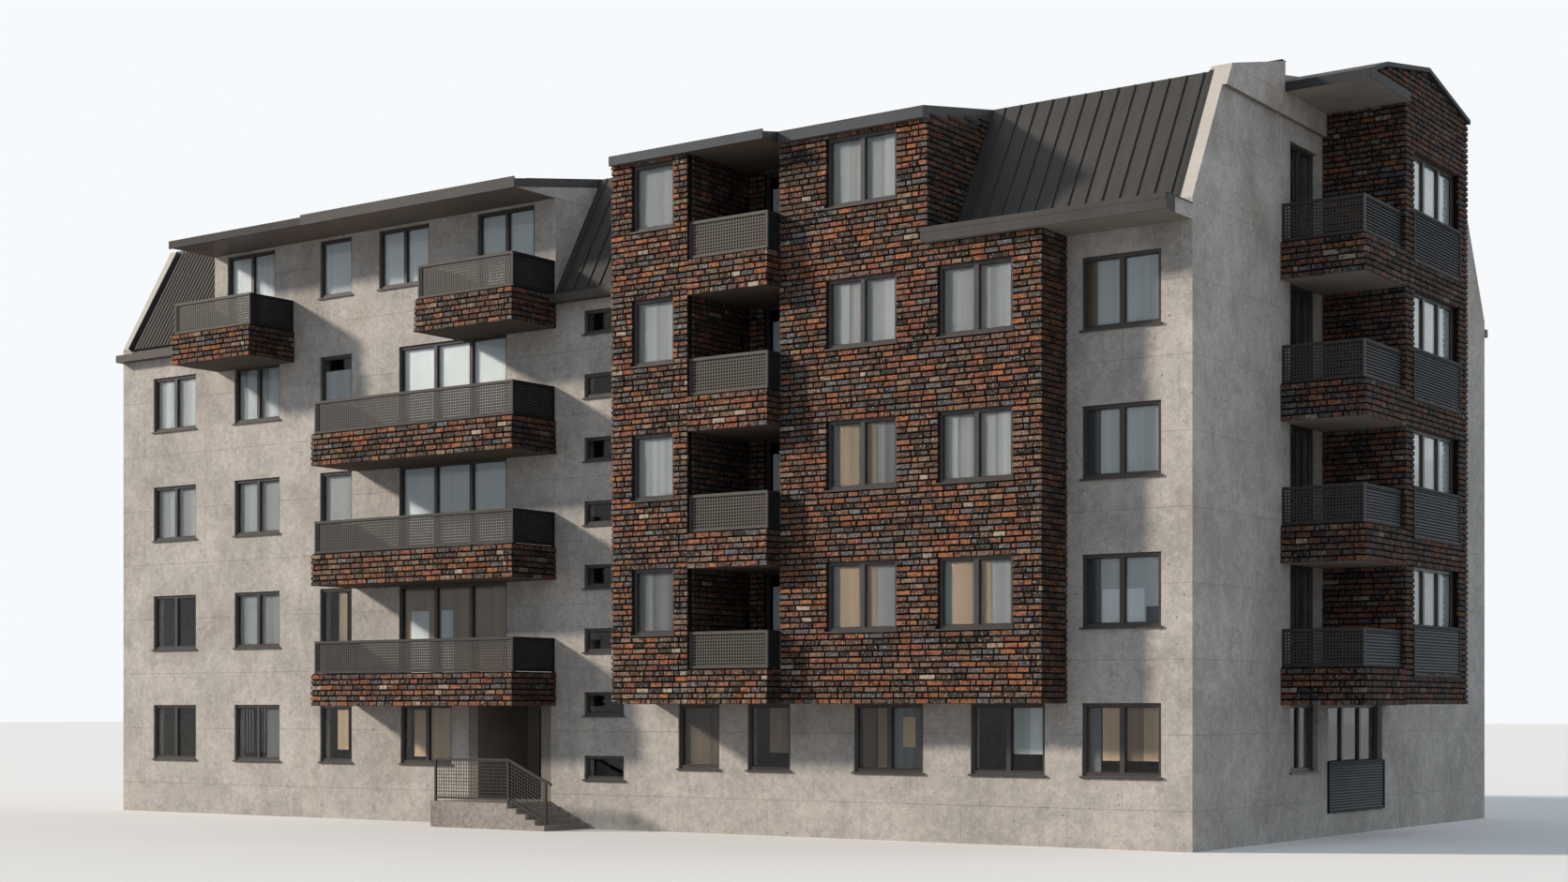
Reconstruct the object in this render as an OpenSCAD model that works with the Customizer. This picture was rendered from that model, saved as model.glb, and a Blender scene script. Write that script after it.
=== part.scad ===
// Five-storey apartment block with a metal mansard roof, brick oriels and brick-clad balconies.
// Drawn from the left end of the street front: X runs along the front, Y to the back, Z up.

/* [Body] */
// Length of the street front between the outer faces of the gables
body_len = 31410; // [31000:10:33000]
// Depth between the outer faces of the street front and the rear wall
body_depth = 16860; // [15500:10:19000]
// Height from one floor to the next
storey_h = 2900; // [2800:10:3000]
// Height of the ground floor above the ground
ground_floor_h = 600; // [500:10:750]
// Thickness of an outside wall
wall_t = 350; // [300:10:400]
// Thickness of a floor slab
slab_t = 220; // [180:10:260]

/* [Roof] */
// Height of the roof's foot above the attic floor
kerb_h = 150; // [100:10:200]
// Run of the steep slope, measured inwards from the wall's face
steep_run = 1630; // [1500:10:1800]
// Rise of the upper roof for each unit of run
roof_rise = 0.18; // [0.12:0.01:0.22]
// Thickness of the upper roof, and height of its edge
roof_t = 200; // [160:10:240]
// Thickness of the steep slope, measured level
steep_t = 230; // [180:10:280]
// Height of the flat soffits above the attic floor
soffit_h = 2300; // [2280:10:2400]
// Distance that the left dormer's roof reaches in front of the wall
dormer_reach = 1360; // [900:10:1400]
// Distance that the roofs over the brick reach past it
brick_reach = 150; // [100:10:200]
// Distance that the rear dormer's roof reaches behind the wall
rear_reach = 450; // [300:10:700]
// Height that the gables stand above the steep slope
parapet_h = 80; // [50:10:120]
// Height that the gables reach above the upper roof at their high end
parapet_end_h = 270; // [200:10:320]
// Distance of the gables' high ends behind the front side of the canopy
parapet_lap = 180; // [150:10:220]
// Distance of the eave slab's top below the roof's foot
eave_drop = 50; // [40:5:60]
// Thickness of the eave slab
eave_t = 300; // [260:10:320]
// Distance that the left dormer's roof edge runs past it at its left end
dormer_lug = 120; // [80:10:140]
// Distance that the eave's metal edge runs past it at its left end
eave_lug = 60; // [40:10:80]
// Thickness of the metal edge strips
edge_t = 30; // [20:5:40]
// Height of the gutters
gutter_h = 190; // [150:10:220]
// Height of the gutters' edge above the attic floor
gutter_lift = 40; // [20:5:60]
// Distance that the gutters stand out
gutter_d = 250; // [150:10:280]

/* [Dormers] */
// Left end of the street dormer, as a share of the front's length
dormer_x0_share = 0.1178; // [0.1114:0.0001:0.1194]
// Right end of the street dormer, as a share of the front's length
dormer_x1_share = 0.4919; // [0.4887:0.0001:0.4998]
// Distance of the rear dormer from either gable, as a share of the front's length
rear_dormer_inset_share = 0.2069; // [0.1751:0.0001:0.2388]

/* [Windows] */
// Height of the window sills above each floor
sill_h = 810; // [700:10:900]
// Height of the window heads above each floor
head_h = 2235; // [2150:5:2240]
// Width of a window of two sashes
double_w = 1700; // [1500:10:1750]
// Width of a window of one sash
single_w = 1130; // [900:10:1150]
// Width of a balcony window of three panes
triple_w = 3520; // [3200:10:3560]
// Width of the attic's balcony doors
attic_door_w = 1800; // [1500:10:1850]
// Width of a stair window
stair_window_w = 1170; // [900:10:1300]
// Height of a stair window
stair_window_h = 540; // [450:10:600]
// Height of the first stair window's sill above the ground
stair_window_z = 1120; // [900:10:1150]
// Depth of the street front's and the rear's frames behind the wall's face
reveal = 50; // [40:5:90]
// Depth of the gables' frames behind the wall's face
gable_reveal = 110; // [60:10:140]
// Depth of a window frame
frame_d = 45; // [40:5:80]
// Width of a window frame's members
frame_w = 70; // [50:5:80]
// Width of the member between two panes
mullion_w = 100; // [80:5:120]
// Thickness of the glazing
glass_t = 24; // [20:1:36]
// Thickness of a window sill
sill_t = 35; // [25:5:50]
// Distance that a window sill stands out of the wall
sill_reach = 45; // [30:5:60]
// Distance that a window sill runs past its window at each end
sill_lug = 40; // [20:5:60]

/* [Street front] */
// Centre of the first column of windows, as a share of the front's length
col_a_share = 0.0670; // [0.0605:0.0001:0.0700]
// Centre of the second column of windows, as a share of the front's length
col_b_share = 0.1691; // [0.1656:0.0001:0.1751]
// Centre of the third column of windows, as a share of the front's length
col_c_share = 0.2614; // [0.2595:0.0001:0.2627]
// Centre of the wide balcony windows, as a share of the front's length
col_d_share = 0.3875; // [0.3820:0.0001:0.3884]
// Centre of the ground floor window beside the entrance, as a share of the front's length
col_d_ground_share = 0.3602; // [0.3582:0.0001:0.3629]
// Centre of the stair windows, as a share of the front's length
col_stair_share = 0.5382; // [0.5365:0.0001:0.5412]
// Distance of the last column's centre from the right gable's face
col_r_inset = 1500; // [1450:10:1600]
// Centre of the attic window between the attic's balconies, as a share of the front's length
col_attic_share = 0.3367; // [0.3343:0.0001:0.3407]
// Centre of the attic's left balcony door, as a share of the front's length
attic_door_l_share = 0.1622; // [0.1592:0.0001:0.1656]
// Centre of the attic's right balcony door, as a share of the front's length
attic_door_r_share = 0.4427; // [0.4394:0.0001:0.4457]

/* [Brick front] */
// Left side of the brick tower, as a share of the front's length
tower_x0_share = 0.5864; // [0.5842:0.0001:0.5890]
// Right side of the tower's pier, where the loggias begin, as a share of the front's length
pier_x1_share = 0.6520; // [0.6495:0.0001:0.6527]
// Left side of the brick block, where the loggias end, as a share of the front's length
block_x0_share = 0.7176; // [0.7163:0.0001:0.7211]
// Right side of the brick block's attic storey, as a share of the front's length
block_attic_x1_share = 0.8316; // [0.8309:0.0001:0.8341]
// Right side of the brick block, as a share of the front's length
block_x1_share = 0.9140; // [0.9121:0.0001:0.9153]
// Distance that the tower stands in front of the wall
tower_d = 1500; // [1400:10:1600]
// Distance that the block stands in front of the wall
block_d = 1000; // [900:10:1100]
// Height of the brickwork's lower edge above the ground
brick_z = 2830; // [2800:10:2860]
// Centre of the tower's windows, as a share of the front's length
tower_window_x_share = 0.6219; // [0.6208:0.0001:0.6240]
// Distance of the ground floor window under the tower right of the windows above it
tower_window_shift = 80; // [60:5:100]
// Centre of the block's first column of windows, as a share of the front's length
col_e_share = 0.7819; // [0.7800:0.0001:0.7832]
// Centre of the block's second column of windows, as a share of the front's length
col_f_share = 0.8672; // [0.8660:0.0001:0.8691]
// Distance of the ground floor window under the second column right of the windows above it
block_window_shift = 150; // [120:10:150]
// Distance of a loggia's back wall behind the street front
loggia_back = 700; // [500:10:900]
// Thickness of a loggia's back wall
loggia_wall_t = 300; // [200:10:300]
// Width of a loggia's door
loggia_door_w = 1200; // [900:10:1300]

/* [Balconies] */
// Distance that the balconies stand in front of the wall
balcony_d = 1480; // [1200:10:1500]
// Left end of the wide balconies, as a share of the front's length
wide_balcony_x0_share = 0.2856; // [0.2833:0.0001:0.2897]
// Left end of the attic's right balcony, as a share of the front's length
attic_balcony_x0_share = 0.3961; // [0.3916:0.0001:0.4011]
// Right end of the balconies beside the stair, as a share of the front's length
balcony_x1_share = 0.4916; // [0.4871:0.0001:0.4919]
// Left end of the attic's left balcony, as a share of the front's length
corner_balcony_x0_share = 0.1219; // [0.1203:0.0001:0.1258]
// Right end of the attic's left balcony, as a share of the front's length
corner_balcony_x1_share = 0.2130; // [0.2069:0.0001:0.2165]
// Depth of a balcony's brick apron below its floor
apron_drop = 700; // [600:10:720]
// Height of a balcony's brick apron above its floor
apron_rise = 70; // [40:10:120]
// Thickness of a balcony's brick apron
apron_t = 150; // [120:10:200]
// Distance of a balcony's floor slab below the top of its paving
paving_t = 20; // [10:5:30]
// Thickness of the plate that closes a balcony below
closing_t = 120; // [80:10:140]
// Height of a railing above the apron
rail_h = 790; // [700:10:950]
// Gap between a railing and the apron below it
rail_gap = 40; // [20:5:60]
// Width of a railing's rails and posts
rail_w = 50; // [40:5:60]
// Greatest distance between a railing's posts
post_step = 3300; // [2400:10:3600]
// Thickness of a railing's infill sheet
infill_t = 8; // [6:1:12]

/* [Entrance] */
// Left side of the entrance recess, as a share of the front's length
recess_x0_share = 0.4145; // [0.4139:0.0001:0.4171]
// Right side of the entrance recess, as a share of the front's length
recess_x1_share = 0.4779; // [0.4744:0.0001:0.4791]
// Depth of the entrance recess
recess_d = 1750; // [1500:10:2000]
// Thickness of the recess's side and back walls
recess_wall_t = 300; // [250:10:300]
// Width of the entrance door
entry_door_w = 1250; // [1000:10:1400]
// Height of the entrance door
entry_door_h = 2120; // [2000:10:2150]
// Thickness of the entrance door
entry_door_t = 70; // [50:5:90]
// Distance that the platform stands in front of the wall
platform_d = 1500; // [1300:10:1600]
// Distance that the platform runs past the recess on the left
platform_lug = 80; // [50:10:150]
// Number of steps up to the platform
step_count = 5; // [4:1:6]
// Depth of a step's tread
tread = 280; // [260:10:320]
// Distance of the entrance railing from the platform's edges
rail_foot = 60; // [50:5:80]
// Height of the entrance railing
entry_rail_h = 1000; // [900:10:1100]

/* [Right gable] */
// Front side of the gable balconies
gable_balcony_y0 = 4170; // [4100:10:4250]
// Front side of the gable's brick bay
bay_y0 = 6380; // [6300:10:6450]
// Rear side of the gable's brick bay
bay_y1 = 10160; // [10100:10:10300]
// Distance that the bay stands out of the gable
bay_d = 1800; // [1600:10:1900]
// Distance that the bay's roof reaches past it
bay_reach = 100; // [60:10:120]
// Centre of the gable doors and the window below them
gable_door_y = 5380; // [5300:10:5450]
// Width of the gable doors and the window below them
gable_door_w = 1460; // [1200:10:1500]
// Centre of the bay's windows
bay_window_y = 8245; // [8200:10:8300]
// Width of the bay's windows
bay_window_w = 2790; // [2500:10:2850]
// Width of the terrace window below the bay
terrace_window_w = 3140; // [2900:10:3200]
// Distance of the bay's ridge behind its front side
bay_ridge_run = 1200; // [1000:10:1500]
// Height of the canopy's soffit above the attic floor
canopy_soffit_h = 3130; // [3050:10:3160]
// Thickness of the canopy
canopy_t = 190; // [150:10:200]
// Thickness of the bay's roof
bay_roof_t = 90; // [70:5:120]
// Fall of the bay's roof behind its ridge for each unit of run
bay_roof_fall = 0.22; // [0.15:0.01:0.25]
// Distance of the bay roof's bend behind the canopy's edge
canopy_bend = 960; // [800:10:1100]
// Height of the gable band's lower edge above the attic floor
band_h = 2650; // [2600:10:2700]
// Distance that the gable band stands out
band_d = 100; // [60:5:120]
// Height of a louvre panel above the floor
louvre_rise = 1000; // [900:10:1050]
// Depth of a louvre panel below the floor
louvre_drop = 100; // [60:10:150]
// Distance that a louvre panel runs past its window at each end
louvre_lug = 60; // [40:10:80]
// Height of a louvre panel's slats
slat_h = 60; // [50:5:70]
// Thickness of a louvre panel's slats
slat_t = 15; // [10:1:20]
// Number of slats in a louvre panel
slat_count = 7; // [6:1:9]
// Thickness of a louvre panel
louvre_t = 45; // [35:5:60]

/* [Rear and left gable] */
// Distance between the rear columns of windows, as a share of the front's length
rear_step_share = 0.1305; // [0.1242:0.0001:0.1337]
// Distance between the rear dormer's windows, as a share of the distance between the columns below
attic_step_share = 0.85; // [0.8:0.01:0.9]
// Distance of the left gable's windows from the middle
gable_window_off = 3900; // [3400:10:4200]

/* [Hidden] */

// Storeys, counted from the ground floor
attic = 4;
function level(k) = ground_floor_h + k * storey_h;
function ceiling_z(k) = level(k + 1) - slab_t;

// Places along the front
function along(share) = round(share * body_len);
dormer_x0 = along(dormer_x0_share);
dormer_x1 = along(dormer_x1_share);
rear_dormer_inset = along(rear_dormer_inset_share);
col_a = along(col_a_share);
col_b = along(col_b_share);
col_c = along(col_c_share);
col_d = along(col_d_share);
col_d_ground = along(col_d_ground_share);
col_stair = along(col_stair_share);
col_attic = along(col_attic_share);
attic_door_l = along(attic_door_l_share);
attic_door_r = along(attic_door_r_share);
tower_x0 = along(tower_x0_share);
pier_x1 = along(pier_x1_share);
block_x0 = along(block_x0_share);
block_attic_x1 = along(block_attic_x1_share);
block_x1 = along(block_x1_share);
tower_window_x = along(tower_window_x_share);
col_e = along(col_e_share);
col_f = along(col_f_share);
wide_balcony_x0 = along(wide_balcony_x0_share);
attic_balcony_x0 = along(attic_balcony_x0_share);
balcony_x1 = along(balcony_x1_share);
corner_balcony_x0 = along(corner_balcony_x0_share);
corner_balcony_x1 = along(corner_balcony_x1_share);
recess_x0 = along(recess_x0_share);
recess_x1 = along(recess_x1_share);
rear_step = along(rear_step_share);
inner_x0 = wall_t;
inner_x1 = body_len - wall_t;
inner_y1 = body_depth - wall_t;
porch_x0 = recess_x0 - recess_wall_t;
porch_x1 = recess_x1 + recess_wall_t;
right_wall_x0 = block_x1 - wall_t;
col_r = body_len - col_r_inset;
ridge_y = body_depth / 2;

// Heights of the roof
kerb_z = level(attic) + kerb_h;
soffit_z = level(attic) + soffit_h;
function roof_z(y) = soffit_z + roof_t + roof_rise * (min(y, body_depth - y) + dormer_reach);
function roof_under(y) = roof_z(y) - roof_t;
break_z = roof_z(steep_run);
soffit_back = loggia_back + loggia_wall_t;
cheek_back = steep_run + steep_t;
eave_d = block_d + brick_reach;
eave_z = kerb_z - eave_drop - eave_t;

// Heights of the bay
bay_x1 = body_len + bay_d;
bay_roof_x1 = bay_x1 + bay_reach;
canopy_z = level(attic) + canopy_soffit_h;
bay_bend_y = gable_balcony_y0 + canopy_bend;
bay_ridge_y = bay_y0 + bay_ridge_run;
bay_end_z = roof_z(bay_ridge_y) - bay_roof_fall * (bay_y1 - bay_ridge_y);

// The whole part stands with the middle of its box over the origin
box_x0 = -sill_reach;
box_x1 = bay_roof_x1;
box_y0 = -tower_d - brick_reach;
box_y1 = body_depth + rear_reach;
module placed() translate([-(box_x0 + box_x1) / 2, -(box_y0 + box_y1) / 2, 0]) children();

// A shape drawn in (across, up) is laid on an outside face and grows inwards
module on_front(y) translate([0, y, 0]) mirror([0, 1, -1]) children();
module on_rear(y) translate([0, y, 0]) rotate([90, 0, 0]) children();
module on_left(x) translate([x, 0, 0]) rotate([90, 0, 90]) children();
module on_right(x) translate([x, 0, 0]) mirror([1, 0, 0]) rotate([90, 0, 90]) children();

// A window is [left, sill, width, height, panes]
function window_at(c, k, w, panes) = [c - w / 2, level(k) + sill_h, w, head_h - sill_h, panes];
function door_at(c, k, w, panes) = [c - w / 2, level(k), w, head_h, panes];

ground_left_windows = [
    window_at(col_a, 0, double_w, 2), window_at(col_b, 0, double_w, 2),
    window_at(col_c, 0, single_w, 1), window_at(col_d_ground, 0, double_w, 2)];
front_left_windows = [for (k = [1:3]) each [
    window_at(col_a, k, double_w, 2), window_at(col_b, k, double_w, 2),
    window_at(col_c, k, single_w, 1), door_at(col_d, k, triple_w, 3)]];
attic_front_windows = [
    door_at(attic_door_l, attic, attic_door_w, 2), window_at(col_c, attic, single_w, 1),
    window_at(col_attic, attic, double_w, 2), door_at(attic_door_r, attic, attic_door_w, 2)];
stair_windows = [for (n = [0:7])
    [col_stair - stair_window_w / 2, stair_window_z + n * storey_h / 2, stair_window_w, stair_window_h, 1]];
front_right_windows = [for (k = [0:3]) window_at(col_r, k, double_w, 2)];
ground_right_windows = [
    window_at(tower_window_x + tower_window_shift, 0, single_w, 1), window_at((pier_x1 + block_x0) / 2, 0, single_w, 1),
    window_at(col_e, 0, double_w, 2), window_at(col_f + block_window_shift, 0, double_w, 2)];
tower_windows = [for (k = [1:4]) window_at(tower_window_x, k, single_w, 1)];
block_windows = concat(
    [for (k = [1:4]) window_at(col_e, k, double_w, 2)],
    [for (k = [1:3]) window_at(col_f, k, double_w, 2)]);
loggia_doors = [for (k = [1:4]) door_at((pier_x1 + block_x0) / 2, k, loggia_door_w, 2)];
gable_door_windows = concat([window_at(gable_door_y, 0, gable_door_w, 2)],
    [for (k = [1:4]) door_at(gable_door_y, k, gable_door_w, 2)]);
terrace_windows = [door_at((bay_y0 + bay_y1) / 2, 0, terrace_window_w, 3)];
bay_windows = [for (k = [1:4]) door_at(bay_window_y, k, bay_window_w, 3)];
rear_windows = [for (k = [0:3]) for (i = [-3:3])
    window_at(body_len / 2 + i * rear_step, k, double_w, 2)];
attic_rear_windows = [for (i = [-2:2])
    window_at(body_len / 2 + i * rear_step * attic_step_share, attic, double_w, 2)];
gable_left_windows = [for (k = [0:4]) for (s = [-1, 1])
    window_at(ridge_y + s * gable_window_off, k, double_w, 2)];

// Parts that windows share
module window_holes(list) for (w = list) translate([w[0], w[1]]) square([w[2], w[3]]);

module wall(points, list) linear_extrude(wall_t) difference() {
    polygon(points);
    window_holes(list);
}

function box_points(a0, a1, z0, z1) = [[a0, z0], [a1, z0], [a1, z1], [a0, z1]];

module window_frames(list, depth = reveal) translate([0, 0, depth]) for (w = list) {
    pane_w = (w[2] - 2 * frame_w - (w[4] - 1) * mullion_w) / w[4];
    translate([w[0], w[1], 0]) linear_extrude(frame_d) difference() {
        square([w[2], w[3]]);
        for (i = [0:w[4] - 1]) translate([frame_w + i * (pane_w + mullion_w), frame_w])
            square([pane_w, w[3] - 2 * frame_w]);
    }
}

module window_glass(list, depth = reveal) translate([0, 0, depth + frame_d]) for (w = list)
    translate([w[0], w[1], 0]) linear_extrude(glass_t) square([w[2], w[3]]);

module sills(list) for (w = list) translate([w[0] - sill_lug, w[1] - sill_t, -sill_reach])
    cube([w[2] + 2 * sill_lug, sill_t, sill_reach]);

// Walls
module ground_wall_left() color("silver") placed() on_front(0)
    wall(box_points(inner_x0, porch_x0, 0, ceiling_z(0)), ground_left_windows);

module ground_wall_right() color("silver") placed() on_front(0)
    wall(box_points(tower_x0, block_x1, 0, ceiling_z(0)), ground_right_windows);

module front_wall_left() color("silver") placed() on_front(0)
    wall(box_points(inner_x0, porch_x1, ceiling_z(0), level(attic)), front_left_windows);

module stair_wall() color("silver") placed() on_front(0)
    wall(box_points(porch_x1, tower_x0, 0, level(attic)), stair_windows);

module front_wall_right() color("silver") placed() on_front(0)
    wall([[block_x1, 0], [inner_x1, 0], [inner_x1, eave_z], [right_wall_x0, eave_z],
        [right_wall_x0, ceiling_z(0)], [block_x1, ceiling_z(0)]], front_right_windows);

// Side of a dormer, from its front face at y0 back to behind the steep slope
function cheek_points(y0) = [[y0, level(attic)], [y0, soffit_z], [soffit_back, soffit_z],
    [soffit_back, roof_under(soffit_back)], [steep_run, roof_under(steep_run)],
    [cheek_back, roof_under(cheek_back)], [cheek_back, level(attic)]];

module attic_wall_front() color("silver") placed() {
    on_front(0) wall(box_points(dormer_x0, dormer_x1, level(attic), soffit_z), attic_front_windows);
    for (x = [dormer_x0, dormer_x1 - wall_t]) on_left(x) linear_extrude(wall_t)
        polygon(cheek_points(wall_t));
}

module attic_wall_rear() color("silver") placed() {
    on_rear(body_depth) wall(box_points(rear_dormer_inset, body_len - rear_dormer_inset, level(attic), soffit_z),
        attic_rear_windows);
    for (x = [rear_dormer_inset, body_len - rear_dormer_inset - wall_t])
        translate([0, body_depth, 0]) mirror([0, 1, 0]) on_left(x) linear_extrude(wall_t)
            polygon(cheek_points(wall_t));
}

module rear_wall() color("silver") placed() on_rear(body_depth)
    wall(box_points(inner_x0, inner_x1, 0, level(attic)), rear_windows);

// Half of a gable's outline, from the foot of the wall up to the ridge
parapet_end_y = gable_balcony_y0 + parapet_lap;
parapet_break_y = steep_run - parapet_h / 2;
half_gable = [[0, 0], [0, kerb_z + parapet_h], [parapet_break_y, break_z + parapet_h],
    [parapet_end_y, roof_z(parapet_end_y) + parapet_end_h], [parapet_end_y, roof_z(parapet_end_y)],
    [ridge_y, roof_z(ridge_y)]];
gable_points = concat(half_gable,
    [for (i = [len(half_gable) - 2:-1:0]) [body_depth - half_gable[i][0], half_gable[i][1]]]);

module gable_wall_left() color("silver") placed() on_left(0) wall(gable_points, gable_left_windows);

bay_inner_y0 = bay_y0 + wall_t;
bay_inner_y1 = bay_y1 - wall_t;
band_z = level(attic) + band_h;
band_y0 = (band_z - kerb_z - parapet_h) * parapet_break_y / (break_z - kerb_z);
parapet_slope = (roof_z(parapet_end_y) + parapet_end_h - break_z - parapet_h) / (parapet_end_y - parapet_break_y);
band_points = [[band_y0, band_z], [parapet_break_y, break_z + parapet_h],
    [gable_balcony_y0, break_z + parapet_h + (gable_balcony_y0 - parapet_break_y) * parapet_slope],
    [gable_balcony_y0, canopy_z], [bay_y0, canopy_z], [bay_y0, band_z]];

module gable_wall_right() color("silver") placed() {
    on_right(body_len) linear_extrude(wall_t) difference() {
        polygon(gable_points);
        window_holes(gable_door_windows);
        window_holes(terrace_windows);
        for (k = [1:4]) translate([bay_inner_y0, level(k)])
            square([bay_inner_y1 - bay_inner_y0, ceiling_z(0) - level(0)]);
    }
    on_left(body_len) linear_extrude(band_d) polygon(band_points);
}

// Brick oriels
tower_y = -tower_d;
block_y = -block_d;

// Side of an oriel, which passes in front of the ground floor's wall
function oriel_side_points(y0) = [[y0, brick_z], [0, brick_z], [0, ceiling_z(0)], [wall_t, ceiling_z(0)],
    [wall_t, level(attic)], [cheek_back, level(attic)], [cheek_back, roof_under(cheek_back)],
    [soffit_back, roof_under(soffit_back)], [soffit_back, soffit_z], [y0, soffit_z]];

module brick_tower_wall() color("sienna") placed() {
    on_front(tower_y) wall(box_points(tower_x0, pier_x1, brick_z, soffit_z), tower_windows);
    on_left(tower_x0) linear_extrude(wall_t) polygon(oriel_side_points(tower_y + wall_t));
}

module brick_block_wall() color("sienna") placed() {
    on_front(block_y) wall([[block_x0, brick_z], [block_x1, brick_z], [block_x1, eave_z],
        [block_attic_x1, eave_z], [block_attic_x1, soffit_z], [block_x0, soffit_z]], block_windows);
    on_left(block_x1 - wall_t) linear_extrude(wall_t)
        polygon(box_points(block_y + wall_t, 0, brick_z, eave_z));
    on_left(block_attic_x1 - wall_t) linear_extrude(wall_t) polygon(cheek_points(block_y + wall_t));
}

// Side and back walls of the loggias, one set on each floor
loggia_points = [[pier_x1 - wall_t, tower_y + wall_t], [pier_x1, tower_y + wall_t], [pier_x1, loggia_back],
    [block_x0, loggia_back], [block_x0, block_y + wall_t], [block_x0 + wall_t, block_y + wall_t],
    [block_x0 + wall_t, soffit_back], [pier_x1 - wall_t, soffit_back]];

module loggia_walls() color("sienna") placed() for (k = [1:4]) {
    top = k == attic ? soffit_z : ceiling_z(k);
    difference() {
        translate([0, 0, level(k)]) linear_extrude(top - level(k)) polygon(loggia_points);
        on_front(loggia_back - 1) linear_extrude(loggia_wall_t + 2) window_holes(loggia_doors);
    }
}

function apron_z(k) = level(k) - apron_drop;
apron_h = apron_drop + apron_rise;

module loggia_aprons() color("sienna") placed() for (k = [1:4])
    translate([0, 0, k == 1 ? brick_z : apron_z(k)]) {
        h = apron_z(k) + apron_h - (k == 1 ? brick_z : apron_z(k));
        translate([pier_x1, tower_y, 0]) cube([block_x0 - pier_x1, apron_t, h]);
        translate([block_x0 - apron_t, tower_y + apron_t, 0]) cube([apron_t, block_y - tower_y - apron_t, h]);
        back = k == 1 ? 0 : loggia_back;
        translate([pier_x1, tower_y + apron_t, 0]) cube([block_x0 - pier_x1 - apron_t, block_y - tower_y - apron_t,
            closing_t]);
        translate([pier_x1, block_y, 0]) cube([block_x0 - pier_x1, back - block_y, closing_t]);
    }

module brick_soffit() color("dimgray") placed() translate([0, 0, brick_z]) {
    translate([tower_x0 + wall_t, tower_y + wall_t, 0])
        cube([pier_x1 - tower_x0 - wall_t, tower_d - wall_t, closing_t]);
    translate([block_x0, block_y + wall_t, 0])
        cube([block_x1 - wall_t - block_x0, block_d - wall_t, closing_t]);
    translate([body_len, bay_inner_y0, 0]) cube([bay_d - wall_t, bay_inner_y1 - bay_inner_y0, closing_t]);
}

// Brick bay on the right gable, up to its roof's underside
function bay_roof_z(y) = y < bay_bend_y
    ? canopy_z + canopy_t + (y - gable_balcony_y0) * (roof_z(bay_bend_y) - canopy_z - canopy_t) / canopy_bend
    : y < bay_ridge_y ? roof_z(y)
    : roof_z(bay_ridge_y) - (y - bay_ridge_y) * (roof_z(bay_ridge_y) - bay_end_z) / (bay_y1 - bay_ridge_y);
canopy_front_y = gable_balcony_y0 + (bay_roof_t + edge_t) * canopy_bend / (roof_z(bay_bend_y) - canopy_z - canopy_t);
bay_outline = [[bay_y0, brick_z], [bay_y1, brick_z], [bay_y1, bay_roof_z(bay_y1) - bay_roof_t],
    [bay_ridge_y, roof_z(bay_ridge_y) - bay_roof_t], [bay_bend_y, roof_z(bay_bend_y) - bay_roof_t],
    [canopy_front_y, bay_roof_z(canopy_front_y) - bay_roof_t], [canopy_front_y, canopy_z + canopy_t],
    [bay_y0, canopy_z + canopy_t]];

module gable_bay_wall() color("sienna") placed() {
    on_right(bay_x1) wall(bay_outline, bay_windows);
    for (y = [bay_y0, bay_y1 - wall_t]) on_left(body_len) linear_extrude(bay_d - wall_t)
        polygon([[y, brick_z], [y + wall_t, brick_z], [y + wall_t, bay_roof_z(y + wall_t) - bay_roof_t],
            [y, bay_roof_z(y) - bay_roof_t]]);
}

// Floors
module slab(k, points) placed() translate([0, 0, level(k) - slab_t]) linear_extrude(slab_t) polygon(points);

module floor_ground() color("gainsboro") slab(0, [[inner_x0, wall_t], [porch_x0, wall_t],
    [porch_x0, recess_d + recess_wall_t], [porch_x1, recess_d + recess_wall_t], [porch_x1, wall_t],
    [inner_x1, wall_t], [inner_x1, inner_y1], [inner_x0, inner_y1]]);

function storey_points(block_end) = [[inner_x0, wall_t], [tower_x0 + wall_t, wall_t],
    [tower_x0 + wall_t, tower_y + wall_t], [pier_x1, tower_y + wall_t], [pier_x1, tower_y + apron_t],
    [block_x0 - apron_t, tower_y + apron_t], [block_x0 - apron_t, block_y], [block_x0, block_y],
    [block_x0, block_y + wall_t], [block_end, block_y + wall_t],
    [block_end, wall_t], [inner_x1, wall_t], [inner_x1, inner_y1], [inner_x0, inner_y1]];

module upper_floors() color("gainsboro") {
    for (k = [1:3]) slab(k, storey_points(block_x1 - wall_t));
    slab(attic, storey_points(block_attic_x1));
    placed() for (k = [1:4]) translate([body_len, bay_inner_y0, level(k) - slab_t])
        cube([bay_d - wall_t, bay_inner_y1 - bay_inner_y0, slab_t]);
}

// Roof
// One stretch of the upper roof, whose front edge ends in a flat soffit where it reaches over a wall
module roof_stretch(x0, x1, reach) on_left(x0) linear_extrude(x1 - x0)
    polygon(concat(reach == undef
        ? [[steep_run, roof_under(steep_run)], [steep_run, break_z]]
        : [[soffit_back, roof_under(soffit_back)], [soffit_back, soffit_z], [-reach, soffit_z],
            [-reach, soffit_z + roof_t + roof_rise * (dormer_reach - reach)]],
        [[ridge_y, roof_z(ridge_y)], [ridge_y, roof_under(ridge_y)]]));

module roof_front() color("dimgray") placed() {
    roof_stretch(inner_x0, inner_x1);
    roof_stretch(dormer_x0, dormer_x1, dormer_reach);
    roof_stretch(tower_x0, block_x0, tower_d + brick_reach - edge_t);
    roof_stretch(block_x0, block_attic_x1, block_d + brick_reach - edge_t);
}

module roof_rear() color("dimgray") placed() translate([0, body_depth, 0]) mirror([0, 1, 0]) {
    roof_stretch(inner_x0, inner_x1);
    roof_stretch(rear_dormer_inset, body_len - rear_dormer_inset, rear_reach - edge_t);
}

// Where the inner face of the steep slope meets the upper roof's underside
steep_rise = (break_z - kerb_z) / steep_run;
steep_inner_y = steep_run + (steep_rise * steep_t - roof_t) / (steep_rise - roof_rise);

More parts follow.
